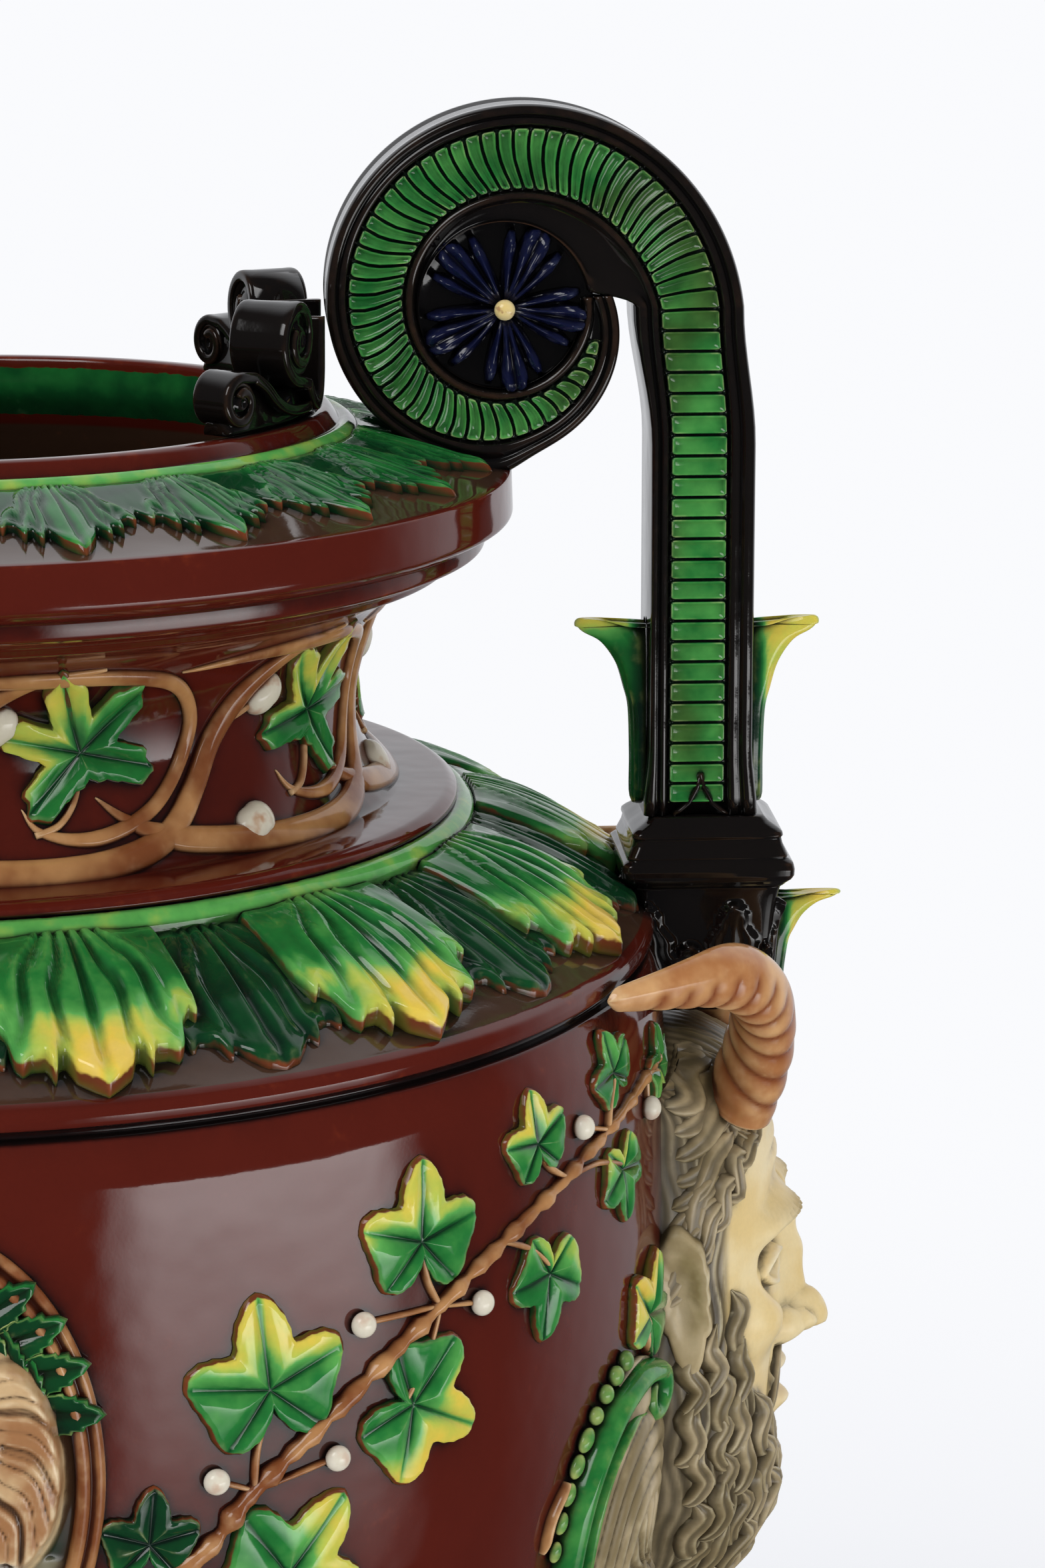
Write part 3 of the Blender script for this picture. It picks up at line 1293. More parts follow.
def dome(value, centre, width):
    """A smooth swelling that is 1 at its centre and 0 beyond its width."""
    share = abs(value - centre) / width
    return 1 - ease(share) if share < 1 else 0


EYE_SIDE = 0.0205
EYE_LEVEL = BROW - 0.012


def face_relief(y, z):
    """Rise of the bare face over the swell of the head, without hair."""
    side = abs(y)
    arch = BROW + 0.003 + 0.003 * sin(min(side / 0.03, 1) * pi) - 0.1 * max(side - 0.026, 0)
    lift = 0.0085 * dome(z, arch, 0.0085) * dome(side, 0.0185, 0.023)
    lift += 0.004 * dome(z, BROW + 0.002, 0.012) * dome(side, 0, 0.01)
    lift -= 0.0018 * bell(side, 0.0038, 0.0012) * dome(z, BROW + 0.009, 0.009)
    lift += 0.0013 * cos((z - BROW) * 900 + side * 130) * dome(z, BROW + 0.022, 0.013) * dome(side, 0, 0.03)
    lift -= 0.01 * dome(z, EYE_LEVEL + 0.0005, 0.013) * dome(side, EYE_SIDE, 0.016)
    eye = hypot((side - EYE_SIDE) / 0.0108, (z - EYE_LEVEL) / 0.0062)
    if eye < 1:
        lift += 0.0074 * sqrt(1 - eye * eye)
        lift -= 0.0016 * bell(hypot(side - EYE_SIDE, z - EYE_LEVEL - 0.0006), 0, 0.0014)
    corner = cos(min(abs(side - EYE_SIDE) / 0.013, 1) * pi / 2)
    lift += 0.0056 * bell(z - EYE_LEVEL, 0.0046 * corner, 0.0019) * dome(side, EYE_SIDE, 0.0155)
    lift += 0.0034 * bell(z - EYE_LEVEL, -0.0044 * corner, 0.0015) * dome(side, EYE_SIDE, 0.0145)
    lift -= 0.0012 * bell(z - EYE_LEVEL, -0.0094 * corner, 0.0016) * dome(side, EYE_SIDE + 0.001, 0.015)
    fall = min(max((BROW + 0.002 - z) / (THIRD - 0.001), 0), 1)
    under = ease((z - NOSE + 0.0036) / 0.005)
    ridge = (0.003 + 0.0098 * fall ** 0.9 + 0.002 * bell(fall, 0.38, 0.16)) * under * ease(fall * 6)
    lift += ridge * (0.65 * bell(y, 0, 0.004 + 0.0022 * fall) + 0.35 * bell(y, 0, 0.0078 + 0.004 * fall))
    ball = hypot(y / 0.0078, (z - NOSE - 0.0046) / 0.008)
    lift += 0.0048 * sqrt(max(1 - ball * ball, 0))
    wing = hypot((side - 0.0098) / 0.005, (z - NOSE - 0.0032) / 0.0062)
    lift += 0.0058 * sqrt(max(1 - wing * wing, 0))
    lift -= 0.0046 * bell(z, NOSE - 0.0016, 0.002) * bell(side, 0.0052, 0.0024)
    lift += 0.0062 * dome(z, NOSE + 0.014, 0.016) * dome(side, 0.032, 0.017)
    fold = side - (0.015 + 0.42 * (NOSE + 0.006 - z))
    lift -= 0.0026 * bell(fold, 0, 0.002) * dome(z, NOSE - 0.003, 0.016)
    mouth_curve = MOUTH - 0.0018 + 0.0016 * (side / 0.014) ** 2
    lift += 0.0046 * bell(z - mouth_curve, 0.0052, 0.0026) * dome(side, 0, 0.02)
    lift += 0.0056 * bell(z - mouth_curve, -0.0066, 0.0032) * dome(side, 0, 0.017)
    lift -= 0.0095 * bell(z - mouth_curve, -0.0004, 0.0026) * dome(side, 0, 0.015)
    lift -= 0.0014 * bell(z - mouth_curve, -0.0122, 0.0024) * dome(side, 0, 0.018)
    return lift


def hair_edge(y, z):
    """Distance in from the edge of the hair, in m: more than 0 in the hair and the beard."""
    side = abs(y)
    over = z - (BROW + 0.0385 - 0.006 * bell(side, 0, 0.008) - 0.42 * max(side - 0.026, 0))
    temple = side - (0.047 - 0.002 * bell(z, BROW + 0.02, 0.014))
    cheek = side - (0.0455 - 1.1 * max(NOSE + 0.002 - z, 0))
    tache = 0.003 - abs(z - (MOUTH + 0.01 - 0.42 * max(side - 0.004, 0))) if side < 0.022 else -1
    chin = (MOUTH - 0.013) - z
    return max(over, temple, min(cheek, NOSE + 0.008 - z), tache, chin)


mask_border = BELLY_WIDE - 0.0135
mask_middle = MASK_TOP - MASK_HIGH / 2
MASK_DEEP = 0.0462
MASK_ARC = 0.047


def on_head(turn, v, rise=0):
    """Point of the head at an angle round it and a share v of its height, -1 to 1."""
    round_off = 0.25 if v > 0 else 0.5
    y = MASK_WIDE * sin(turn) * sqrt(1 - round_off * v * v)
    z = mask_middle + MASK_HIGH / 2 * v * sqrt(1 - round_off * sin(turn) ** 2)
    swell = max(cos(turn), 0) ** 0.9 * sqrt(max(1 - v ** 6, 0))
    taper = 1 - 0.36 * ease((CHIN - z) / 0.06)
    x = mask_border + MASK_DEEP * swell * taper + rise * (0.35 + 0.65 * cos(turn))
    return Vector((min(x, 0.2669), y + rise * 0.75 * sin(turn), z)), swell


def walled(bm, axis, level):
    """Draw the open border of a relief back to a level and close it behind."""
    border = bmesh.ops.extrude_edge_only(bm, edges=[edge for edge in bm.edges if edge.is_boundary])
    for part in border["geom"]:
        if isinstance(part, bmesh.types.BMVert):
            part.co[axis] = level
    bmesh.ops.holes_fill(bm, edges=[edge for edge in bm.edges if edge.is_boundary])


mask = grid(168, 260, 1)
hair_layer, dark_layer = store(mask, "hair"), store(mask, "dark")
for vert in mask.verts:
    turn, v = vert.co.x * pi / 2, vert.co.y
    spot, swell = on_head(turn, v)
    y, z = spot.y, spot.z
    inside = hair_edge(y, z)
    cover = ease((inside + 0.0008) / 0.004)
    strand_wave = 0.5 + 0.5 * cos(turn * 74 + 2.2 * sin(z * 210 + 3 * turn))
    bulk = 0.0006 + 0.001 * strand_wave
    brow_hair = dome(z, BROW + 0.0058, 0.006) * dome(abs(y), 0.0185, 0.018)
    rise = (face_relief(y, z) * (1 - 0.85 * cover) + bulk * cover) * ease(swell * 1.8)
    rise += 0.0006 * brow_hair * cos(abs(y) * 2600 - z * 1500)
    vert.co = on_head(turn, v, rise)[0]
    lips_dark = bell(z - (MOUTH - 0.002 + 0.0014 * (abs(y) / 0.014) ** 2), 0, 0.0022) * dome(y, 0, 0.0155)
    vert[hair_layer] = max(cover, 0.45 * brow_hair)
    vert[dark_layer] = max(lips_dark, 0.8 * cover * (0.55 + 0.45 * (1 - strand_wave)))
walled(mask, 0, mask_border - 0.024)


def lock(path, half, height):
    """Rings of one lock of hair along flat (arc, z) points: three strands that run out to a point."""
    rings = []
    for share, x, y, side_x, side_y, long in followed(path):
        size = half * (0.1 + 0.9 * ease(share * 4) * sqrt(max(1 - share ** 2.6, 0)))
        high = height * (size / half) ** 0.6
        ring = []
        for k in range(16):
            angle = pi * k / 15
            flute = 0.5 + 0.5 * cos(6 * angle + 0.9 * sin(share * 7))
            flat = size * cos(angle)
            rise = high * sin(angle) ** 0.7 * (0.78 + 0.22 * flute)
            edge = ease((abs(cos(angle)) - 0.62) / 0.38)
            ring.append((x + side_x * flat, y + side_y * flat, rise - 0.0004, 1, max(0.62 * (1 - flute), edge)))
        ring += [(x - side_x * size * s, y - side_y * size * s, -0.0016, 1, 1) for s in (0.9, 0, -0.9)]
        rings.append(ring)
    return skin(rings, ("hair", "dark"))


def on_mask(x, y, h):
    """A point of the hair, drawn flat in metres of arc from the nose and of height."""
    turn = min(max(x / MASK_ARC, -1.54), 1.54)
    share = (y - mask_middle) / (MASK_HIGH / 2)
    v = share / sqrt(1 - (0.25 if share > 0 else 0.5) * sin(turn) ** 2)
    return on_head(turn, min(max(v, -0.985), 0.985), h)[0]


def aside(start, end):
    """The way to the left of a lock that runs from start to end."""
    return Vector((-(end - start).y, (end - start).x)).normalized()


lock_paths = []
for layer, count, shift, long in ((0, 9, 0, 1), (1, 8, 0.06, 0.74)):
    for j in range(count):
        f = j / 8 + shift
        start = Vector((2 + 50 * f, 40 - 27 * f ** 1.6 + 3 * layer))
        end = Vector((14 + 58 * f ** 0.8, 61 - 76 * f ** 1.25))
        end = start.lerp(end, long)
        across = aside(start, end) * (2.2 + 1.9 * ((j * 2 + layer) % 3))
        path = [start, start.lerp(end, 0.3) + across, start.lerp(end, 0.65) - across * 0.6, end + across * 0.5]
        lock_paths.append((path, 4.3 - 0.9 * layer, 3.4 + 1.8 * layer, BROW))
for j in range(10):
    f = j / 9
    start = Vector((18 + 37 * f, 58 - 44 * f ** 1.2))
    end = Vector((60 + 11 * f, 54 - 66 * f))
    across = aside(start, end) * (1.6 + 1.5 * (j * 2 % 3))
    path = [start, start.lerp(end, 0.35) + across, start.lerp(end, 0.7) - across * 0.5, end]
    lock_paths.append((path, 4.6, 2.6 + 0.9 * (j % 2), BROW))
for tier in range(7):
    top = 38 - 14.2 * tier
    inner = (44, 41, 33, 21, 4, 8.5, 4.5)[tier]
    outer = (60, 65, 66, 66, 63, 55, 42)[tier]
    j = 0
    arc = inner
    while arc < outer:
        turn_way = 1 if (j + tier) % 2 else -1
        wave = 1 + 0.45 * sin(arc * 1.7 + tier * 2.1)
        low = top - 4.5 * cos(arc * 0.35 + tier)
        path = [Vector(point) for point in (
            (arc - 1.5 * turn_way, low), (arc + 2.6 * turn_way * wave, low - 6.5), (arc - 0.8 * turn_way, low - 13.5),
            (arc + 1.4 * turn_way * wave, low - 19), (arc + 5 * turn_way, low - 21.4),
        )]
        lock_paths.append((path, 4 + 0.5 * sin(arc * 2.3), 3.6 + 1.1 * ((j * 2 + tier) % 3), MOUTH))
        arc += 9
        j += 1
lock_paths.append(([Vector(p) for p in ((1.2, 11), (7, 10.6), (13, 6.5), (17.5, -1), (21, -5))], 2.5, 3.2, MOUTH))
hair_parts = []
for path, half, height, level in lock_paths:
    points = flowing([(point.x * MM, level + point.y * MM) for point in path], 4)
    for way in (1, -1):
        hair_parts.append(moved(lock([(x * way, z) for x, z in points], half * MM, height * MM), on_mask))
hair = merged(hair_parts)


def buff_colours(tree):
    """Cream face, grey-olive hair with dark partings, brown where the hair meets the ground."""
    drift = noise(tree, 55, 4)
    face = blend(tree, step(tree, drift, 0.35, 0.7), (0.79, 0.59, 0.26), (0.87, 0.71, 0.4))
    grey = blend(tree, step(tree, drift, 0.4, 0.62), (0.24, 0.18, 0.085), (0.48, 0.375, 0.215))
    tone = blend(tree, attribute(tree, "hair"), face, grey)
    tone = blend(tree, attribute(tree, "dark"), tone, (0.045, 0.036, 0.02))
    return tone, blend(tree, attribute(tree, "hair"), (0.9, 0.79, 0.55), (0.62, 0.54, 0.34)), (0.07, 0.05, 0.024)


BUFF = glazed("buff_glaze", buff_colours, 0.3, patch_size=24, patchiness=0.25, wave=0.0004, reach=0.0045)


def ear_shape(angle, share):
    """A goat's ear: long and pointed below, with a rolled edge and a hollow down its middle."""
    long = ear_hem(min(angle, tau - angle) / pi)
    edge = rolled_edge(share, 0.84)
    hollow = 1 - 0.42 * ease((0.7 - share) / 0.45)
    return 0.031 * long, (0.001 + 0.0042 * hollow) * edge, 0, 0


ear_hem = tabled(((0, 0.62), (0.14, 0.52), (0.32, 0.36), (0.5, 0.3), (0.68, 0.34), (0.86, 0.56), (1, 0.96)))
ear = pillow(64, ear_shape, 0.0014)
ear_hair, ear_dark = store(ear, "hair"), store(ear, "dark")
for vert in ear.verts:
    vert[ear_hair] = 0.75
    vert[ear_dark] = 0.5 * ease((0.004 - vert.co.z) / 0.0022)
for side, name in SIDES:
    placed("satyr_mask_" + name, placed_copy(mask, side), BUFF, "buff_glaze", "mask_" + name, reach=0.0016)
    placed("satyr_hair_" + name, placed_copy(hair, side), BUFF, "buff_glaze")
    for facing, face in FACES:
        lobe = moved(placed_copy(ear, 1), lambda x, y, h: (
            side * (0.2145 - 0.004 + x * 0.9 - 0.1 * (y - 0.005)), facing * (0.0535 + h + 0.1 * x), BROW - 0.006 + y,
        ))
        placed("ear_" + face + "_" + name, lobe, BUFF, "buff_glaze", reach=0.0016)

# Horns.
# Four goat horns grow out of the masks' hair, turn back over the ridge and rest on it. A smooth
# band runs along the outside of the bend and growth rings cross the inside.


def horn_line(share):
    lift = sin(pi / 2 * min(1.35 * share, 1))
    return Vector((
        0.23 + 0.012 * sin(pi * share) - 0.045 * share ** 1.9,
        0.032 + 0.065 * share ** 1.2,
        MASK_TOP - 0.0205 + 0.05 * lift,
    ))


rings = []
HORN_LONG = 150
for i in range(HORN_LONG + 1):
    share = i / HORN_LONG
    centre = horn_line(share)
    tangent = (horn_line(share + 0.02) - horn_line(max(share - 0.02, 0))).normalized()
    across = tangent.cross(Vector((1, 0, 0))).normalized()
    out = across.cross(tangent).normalized()
    round_tip = rolled_edge(share, 0.965) * 0.94 + 0.06
    radius = 0.0148 * (1 - 0.8 * share ** 1.7) * round_tip
    top = max(1 - 1.35 * share, 0)
    ring = []
    for k in range(56):
        angle = tau * k / 56
        inward = 0.5 + 0.5 * cos(angle + 0.55)
        lean = 1.1 * sin(angle)
        phase = share * 78 * (0.8 + 0.2 * share) + lean * 2.4
        rib = abs(sin(phase * 0.5)) ** 0.8
        ribbed = ease((inward - 0.16) / 0.2) * ease((share - 0.02) / 0.05) * (1 - ease((share - 0.86) / 0.12))
        band = 0.0008 * bell(inward, 0.1, 0.1)
        size = radius + (0.0014 * (rib - 0.9) * ribbed + band) * (1 - 0.5 * share)
        spot = centre + across * size * cos(angle) + out * size * 0.72 * sin(angle)
        ring.append((*spot, (1 - rib) * ribbed))
    rings.append(ring)
horn = skin(rings, ("dark",))


def horn_colours(tree):
    """Tan that darkens to red-brown in the creases and towards patches of the base."""
    tan = mottled(tree, 60, 0.36, 0.66, (0.42, 0.17, 0.06), (0.66, 0.37, 0.16))
    tan = blend(tree, attribute(tree, "dark"), tan, (0.22, 0.055, 0.018))
    return tan, (0.76, 0.52, 0.28), (0.1, 0.028, 0.012)


HORN = glazed("horn_glaze", horn_colours, 0.13, patch_size=40, patchiness=0.4, reach=0.004)
cornered(("goat_horn_", horn, HORN, "tan_glaze", "horn_", 0.0016))

# Neck vine.
# A wide tan vine winds through the cove of the neck and throws a curl round each of nine leaves,
# with a pale bud in every fork. It is modelled in relief with the neck and painted by hand.


def on_wall(radius_at, girth, middle, level=0, lift=0):
    """Way of bending flat (x, y, height) in m round a turned wall.

    The middle is in degrees round from +X, the level in m from the flange's top; x runs clockwise
    where the girth is negative.
    """

    def place(x, y, rise):
        height, rise = RIM_Z + level + y, rise + lift
        slope = (radius_at(height + 0.0005) - radius_at(height - 0.0005)) / 0.001
        long = hypot(1, slope)
        radius = radius_at(height) + rise / long
        turn = radians(middle + math.degrees(x / girth))
        return radius * cos(turn), radius * sin(turn), height - rise * slope / long

    return place


def strand(path, width_at, height, knots=0):
    """Rings of a rounded stem along flat (x, y) points in m; width_at(share) is its half width."""
    rings = []
    run = 0
    for share, x, y, side_x, side_y, long in followed(path):
        run += long / 2
        size = width_at(share) * (1 + knots * sin(run * 620) * sin(run * 170 + 1))
        rise = height * (size / width_at(0.5)) ** 0.7
        ring = []
        for k in range(9):
            angle = pi * k / 8
            flat = math.copysign(abs(cos(angle)) ** 0.85, cos(angle))
            ring.append((x + side_x * size * flat, y + side_y * size * flat, rise * sin(angle) ** 0.8))
        ring += [(x + side_x * size * way, y + side_y * size * way, -0.0012) for way in (-0.9, 0.9)]
        rings.append(ring)
    return rings


def tapered(middle, start, end):
    """Half width of a stem along its length, with a narrow start and end."""
    return lambda share: middle * min(1, start + (1 - start) * share * 5, end + (1 - end) * (1 - share) * 5)


def leaf_cushion(hem, veins, size, thick, cool, warm, lean):
    """Shape of a lobed leaf for pillow(): puffed between its veins, with a raised brown rim.

    cool and warm are its glaze tints, lean the direction in degrees that the warm one runs to.
    """

    def shape(angle, share):
        turn = math.degrees(angle)
        turn = turn - 360 if turn > 180 else turn
        reach = size * hem(min(abs(turn + 4 * sin(radians(turn) * 2)) / 180, 1))
        edge = rolled_edge(share, 0.9)
        away = min(abs(radians(turn - vein)) for vein in veins) * share * reach
        main = bell(away, 0, 0.0005)
        puff = 1 - bell(away, 0, 0.0026)
        rim = bell(share, 0.945, 0.034)
        height = thick * (0.42 + 0.58 * puff * sin(pi * min(0.16 + 0.74 * share, 1)))
        height = (height - 0.00055 * main + 0.0003 * rim) * edge
        toward = 0.5 + 0.5 * cos(radians(turn - lean))
        tint = cool + (warm - cool) * ease((toward * (0.35 + 0.65 * share) - 0.38) / 0.4)
        tint -= 0.3 * main
        return reach, height, tint, ease((share - 0.925) / 0.05)

    return shape


NECK_GIRTH = 0.1173


def neck_flat(points):
    """Degrees from a leaf's middle and mm from the flange's top, to flat metres."""
    return [(radians(x) * NECK_GIRTH, z * MM) for x, z in points]


vine_parts = (
    (neck_flat((
        (-38, -73), (-34, -80), (-29, -85), (-22, -88), (-10, -90.5), (2, -90), (11, -85), (16.5, -74), (20.5, -60),
        (25.5, -48), (33, -38.5), (42, -35.5),
    )), tapered(0.0034, 0.06, 0.12), 0.0027),
    (neck_flat((
        (-27, -39.5), (-18, -38), (-8, -37.5), (4, -38.5), (12.5, -43), (16.2, -54), (14.5, -67), (9.5, -78),
        (1.5, -83.5), (-5.5, -81), (-8, -74.5),
    )), tapered(0.0021, 0.12, 0.08), 0.0021),
    (neck_flat(((-6.5, -81.5), (-3.5, -79.5), (-1.2, -74), (0, -66))), tapered(0.0011, 0.8, 0.5), 0.0016),
    (neck_flat(((21.5, -57.5), (24.5, -55.5), (27.5, -53))), tapered(0.0012, 0.8, 0.7), 0.0014),
    (neck_flat(((11, -84.5), (16, -86.5), (20.5, -86.5))), tapered(0.0012, 0.8, 0.7), 0.0014),
)


def lobes(*values):
    """A leaf's outline from a row of degrees round from its tip and reaches in hundredths."""
    return tabled([(degrees / 180, reach / 100) for degrees, reach in zip(values[::2], values[1::2])])


NECK_HEM = lobes(
    0, 100, 5, 93, 9, 84, 13, 87, 17, 80, 24, 56, 31, 44, 37, 52, 43, 76, 48, 80, 53, 90, 59, 97, 64, 86, 69, 84,
    75, 62, 83, 44, 90, 40, 98, 52, 106, 74, 113, 74, 120, 88, 127, 82, 133, 80, 142, 56, 152, 42, 163, 40,
    172, 34, 180, 30,
)
neck_leaf = pillow(112, leaf_cushion(NECK_HEM, (0, 59, -59, 122, -122), 0.0268, 0.0034, 0.42, 0.78, -35), 0.0012)
bud = pillow(24, lambda angle, share: (
    0.0066 * (0.7 + 0.3 * abs(cos(angle)) ** 1.5), 0.0042 * sqrt(max(1 - share ** 2.4, 0)), 0, 0,
), 0.0008)


def vine_colours(tree):
    """Tan vine, light along its top and brown where the glaze has run to its foot."""
    tan = mottled(tree, 48, 0.35, 0.66, (0.22, 0.068, 0.022), (0.5, 0.25, 0.095))
    return tan, (0.7, 0.45, 0.23), (0.06, 0.014, 0.007)


VINE = glazed("vine_glaze", vine_colours, 0.11, patch_size=40, patchiness=0.35, reach=0.0035)


def cream_colours(tree):
    """Cream with brown stains."""
    tone = mottled(tree, 130, 0.5, 0.68, (0.72, 0.66, 0.52), (0.5, 0.26, 0.13))
    return tone, (0.84, 0.8, 0.7), (0.16, 0.06, 0.03)


CREAM = glazed("cream_glaze", cream_colours, 0.12, patch_size=60, patchiness=0.3, reach=0.002)


stems, leaves, buds = [], [], []
for i in range(9):
    middle = -70 + 40 * i
    for path, width_at, height in vine_parts:
        stems.append(moved(skin(strand(flowing(path), width_at, height)), on_wall(cove_radius, NECK_GIRTH, middle)))
    tilt = radians(24 if i % 2 else -16)
    leaf = moved(neck_leaf.copy(), lambda x, y, h: (
        x * cos(tilt) + y * sin(tilt), y * cos(tilt) - x * sin(tilt) - 0.06, h,
    ))
    leaves.append(moved(leaf, on_wall(cove_radius, NECK_GIRTH, middle, lift=0.0004)))
    for x, z, tilt in ((25, -86, 1.2), (29, -51.5, 0.9)):
        drop = moved(bud.copy(), lambda a, b, h: (
            radians(x) * NECK_GIRTH + a * cos(tilt) + b * sin(tilt), z * MM + b * cos(tilt) - a * sin(tilt), h,
        ))
        buds.append(moved(drop, on_wall(cove_radius, NECK_GIRTH, middle)))
placed("neck_vine_stems", merged(stems), VINE, "tan_glaze", "neck_vine")
placed("neck_vine_leaves", merged(leaves), LEAF_GLAZE, "tan_glaze")
placed("neck_vine_buds", merged(buds), CREAM, "tan_glaze")

# Ivy.
# A woody sprig climbs the belly on both sides of each medallion. Leaves, berries and stem are
# pressed in low relief and painted green and yellow, and dark glaze pools all round them.

IVY_HEM = lobes(
    0, 100, 6, 97, 12, 90, 20, 80, 28, 69, 34, 60, 40, 55, 46, 58, 54, 70, 62, 83, 70, 90, 78, 89, 86, 81, 96, 74,
    106, 71, 118, 74, 130, 75, 142, 69, 154, 55, 166, 34, 180, 18,
)
IVY_VEINS = (0, 74, -74, 136, -136)
IVY_GIRTH = 0.2105
# Degrees from the handle, mm below the flange's top, width in mm, way of the tip (clockwise from
# up), way of the warm lobe, its tint, and the point of the stem that the stalk comes from.
IVY = (
    (65.5, -212, 47, -6, 10, 0.8, 2), (52.4, -181.5, 41, 4, -10, 0.8, 4), (53.6, -225.5, 44, 118, 20, 0.82, 4),
    (64.2, -264.5, 47, 40, 35, 0.8, 0), (74.6, -249, 28, 6, 180, 0.3, 0), (39.6, -166, 29, -8, -5, 0.8, 6),
    (27.6, -157.5, 26, -22, 30, 0.55, 7), (15.6, -168, 25, -8, -160, 0.62, 8), (26.8, -186.5, 29, 172, 175, 0.74, 6),
    (38.8, -203.5, 34, 192, 200, 0.7, 5),
)
IVY_STEM = (
    (78, -268), (70.6, -253.1), (66.8, -238.9), (58.8, -218), (50.9, -200.5), (44, -189), (36, -179),
    (29, -172.5), (19.5, -166.5), (14, -165.5),
)
BERRIES = (
    (57.9, -199.6, 4), (46.8, -203.4, 4), (60.3, -234.5, 2), (69.7, -234.2, 2), (33.4, -167.2, 7), (19.6, -176.2, 8),
)


def belly_flat(degrees, z):
    """Flat metres from the handle's middle line towards the front, and up from the flange."""
    return radians(degrees) * IVY_GIRTH, z * MM


stem_points = [belly_flat(*point) for point in IVY_STEM]
wood = [skin(strand(flowing(stem_points, 12), lambda share: 0.0013 + 0.0013 * (1 - share), 0.003, knots=0.45))]
ivy_leaves, berries = [], []
for degrees, z, width, tip, lean, warm, root in IVY:
    x0, y0 = belly_flat(degrees, z)
    size = width * 0.57 * MM
    way = radians(tip)
    tint = 0.1 if warm < 0.4 else 0.44
    leaf = pillow(96, leaf_cushion(IVY_HEM, IVY_VEINS, size, 0.0031, tint, warm, lean), 0.0012)
    leaf = moved(leaf, lambda x, y, h: (
        x0 - (x * cos(way) + y * sin(way)), y0 + y * cos(way) - x * sin(way), h,
    ))
    ivy_leaves.append(moved(leaf, on_wall(belly_radius, IVY_GIRTH, 0, lift=0.0003)))
    foot = (x0 + sin(way) * size * 0.12, y0 - cos(way) * size * 0.12)
    end = stem_points[root]
    bent = ((foot[0] + end[0]) / 2 - 0.06 * (end[1] - foot[1]), (foot[1] + end[1]) / 2 + 0.06 * (end[0] - foot[0]))
    wood.append(skin(strand(flowing([foot, bent, end], 8), tapered(0.001, 0.9, 0.9), 0.002)))
for degrees, z, root in BERRIES:
    x0, y0 = belly_flat(degrees, z)
    berry = ball(0.0035, 24, 16, (1, 1, 0.85), (x0, y0, 0.0017))
    berries.append(moved(berry, on_wall(belly_radius, IVY_GIRTH, 0)))
    end = stem_points[root]
    near = (x0 + (end[0] - x0) * 0.75, y0 + (end[1] - y0) * 0.75)
    wood.append(skin(strand(flowing([(x0, y0), near, end], 6), tapered(0.0008, 0.9, 0.9), 0.0016)))
wood = [moved(part, on_wall(belly_radius, IVY_GIRTH, 0)) for part in wood]
sprig, foliage, fruit = merged(wood), merged(ivy_leaves), merged(berries)
cornered(
    ("ivy_leaves_", foliage, LEAF_GLAZE, "green_glaze", "ivy_"),
    ("ivy_wood_", sprig, VINE, "green_glaze", None),
    ("ivy_berries_", fruit, CREAM, "green_glaze", None),
)

# Medallions.
# An oval portrait on the front and the back: a moulded brown frame round a press-moulded head in
# profile, with long wavy hair under a leaf wreath and pleated white drapery on the shoulders.

MEDAL_Z = -228


on_medallion = on_wall(belly_radius, -0.2115, 90, MEDAL_Z * MM)
MOULDING = (
    (0, -0.6), (0, 0.6), (0.3, 1.5), (1.1, 2.5), (2.1, 2.8), (3, 2.3), (3.6, 1.5), (4, 1.6), (4.4, 2.9), (5, 4.3),
    (6.1, 5), (7.2, 4.6), (7.9, 3.4), (8.2, 1.8), (8.2, -0.6),
)
oval = circled(MOULDING, 144, lambda cosine, sine, inwards, rise: (
    (0.046 - inwards * MM) * cosine, (0.068 - inwards * MM) * sine, rise * MM,
))
frame_ring = moved(skin(oval, ends=False), on_medallion)

profile_front = tabled(thousandths(
    0, 520, 100, 660, 170, 950, 215, 1000, 260, 930, 300, 1000, 335, 960, 365, 1020, 400, 990, 435, 1160, 470, 1200,
    560, 1040, 640, 950, 700, 1000, 840, 980, 1000, 800,
), soft=False)


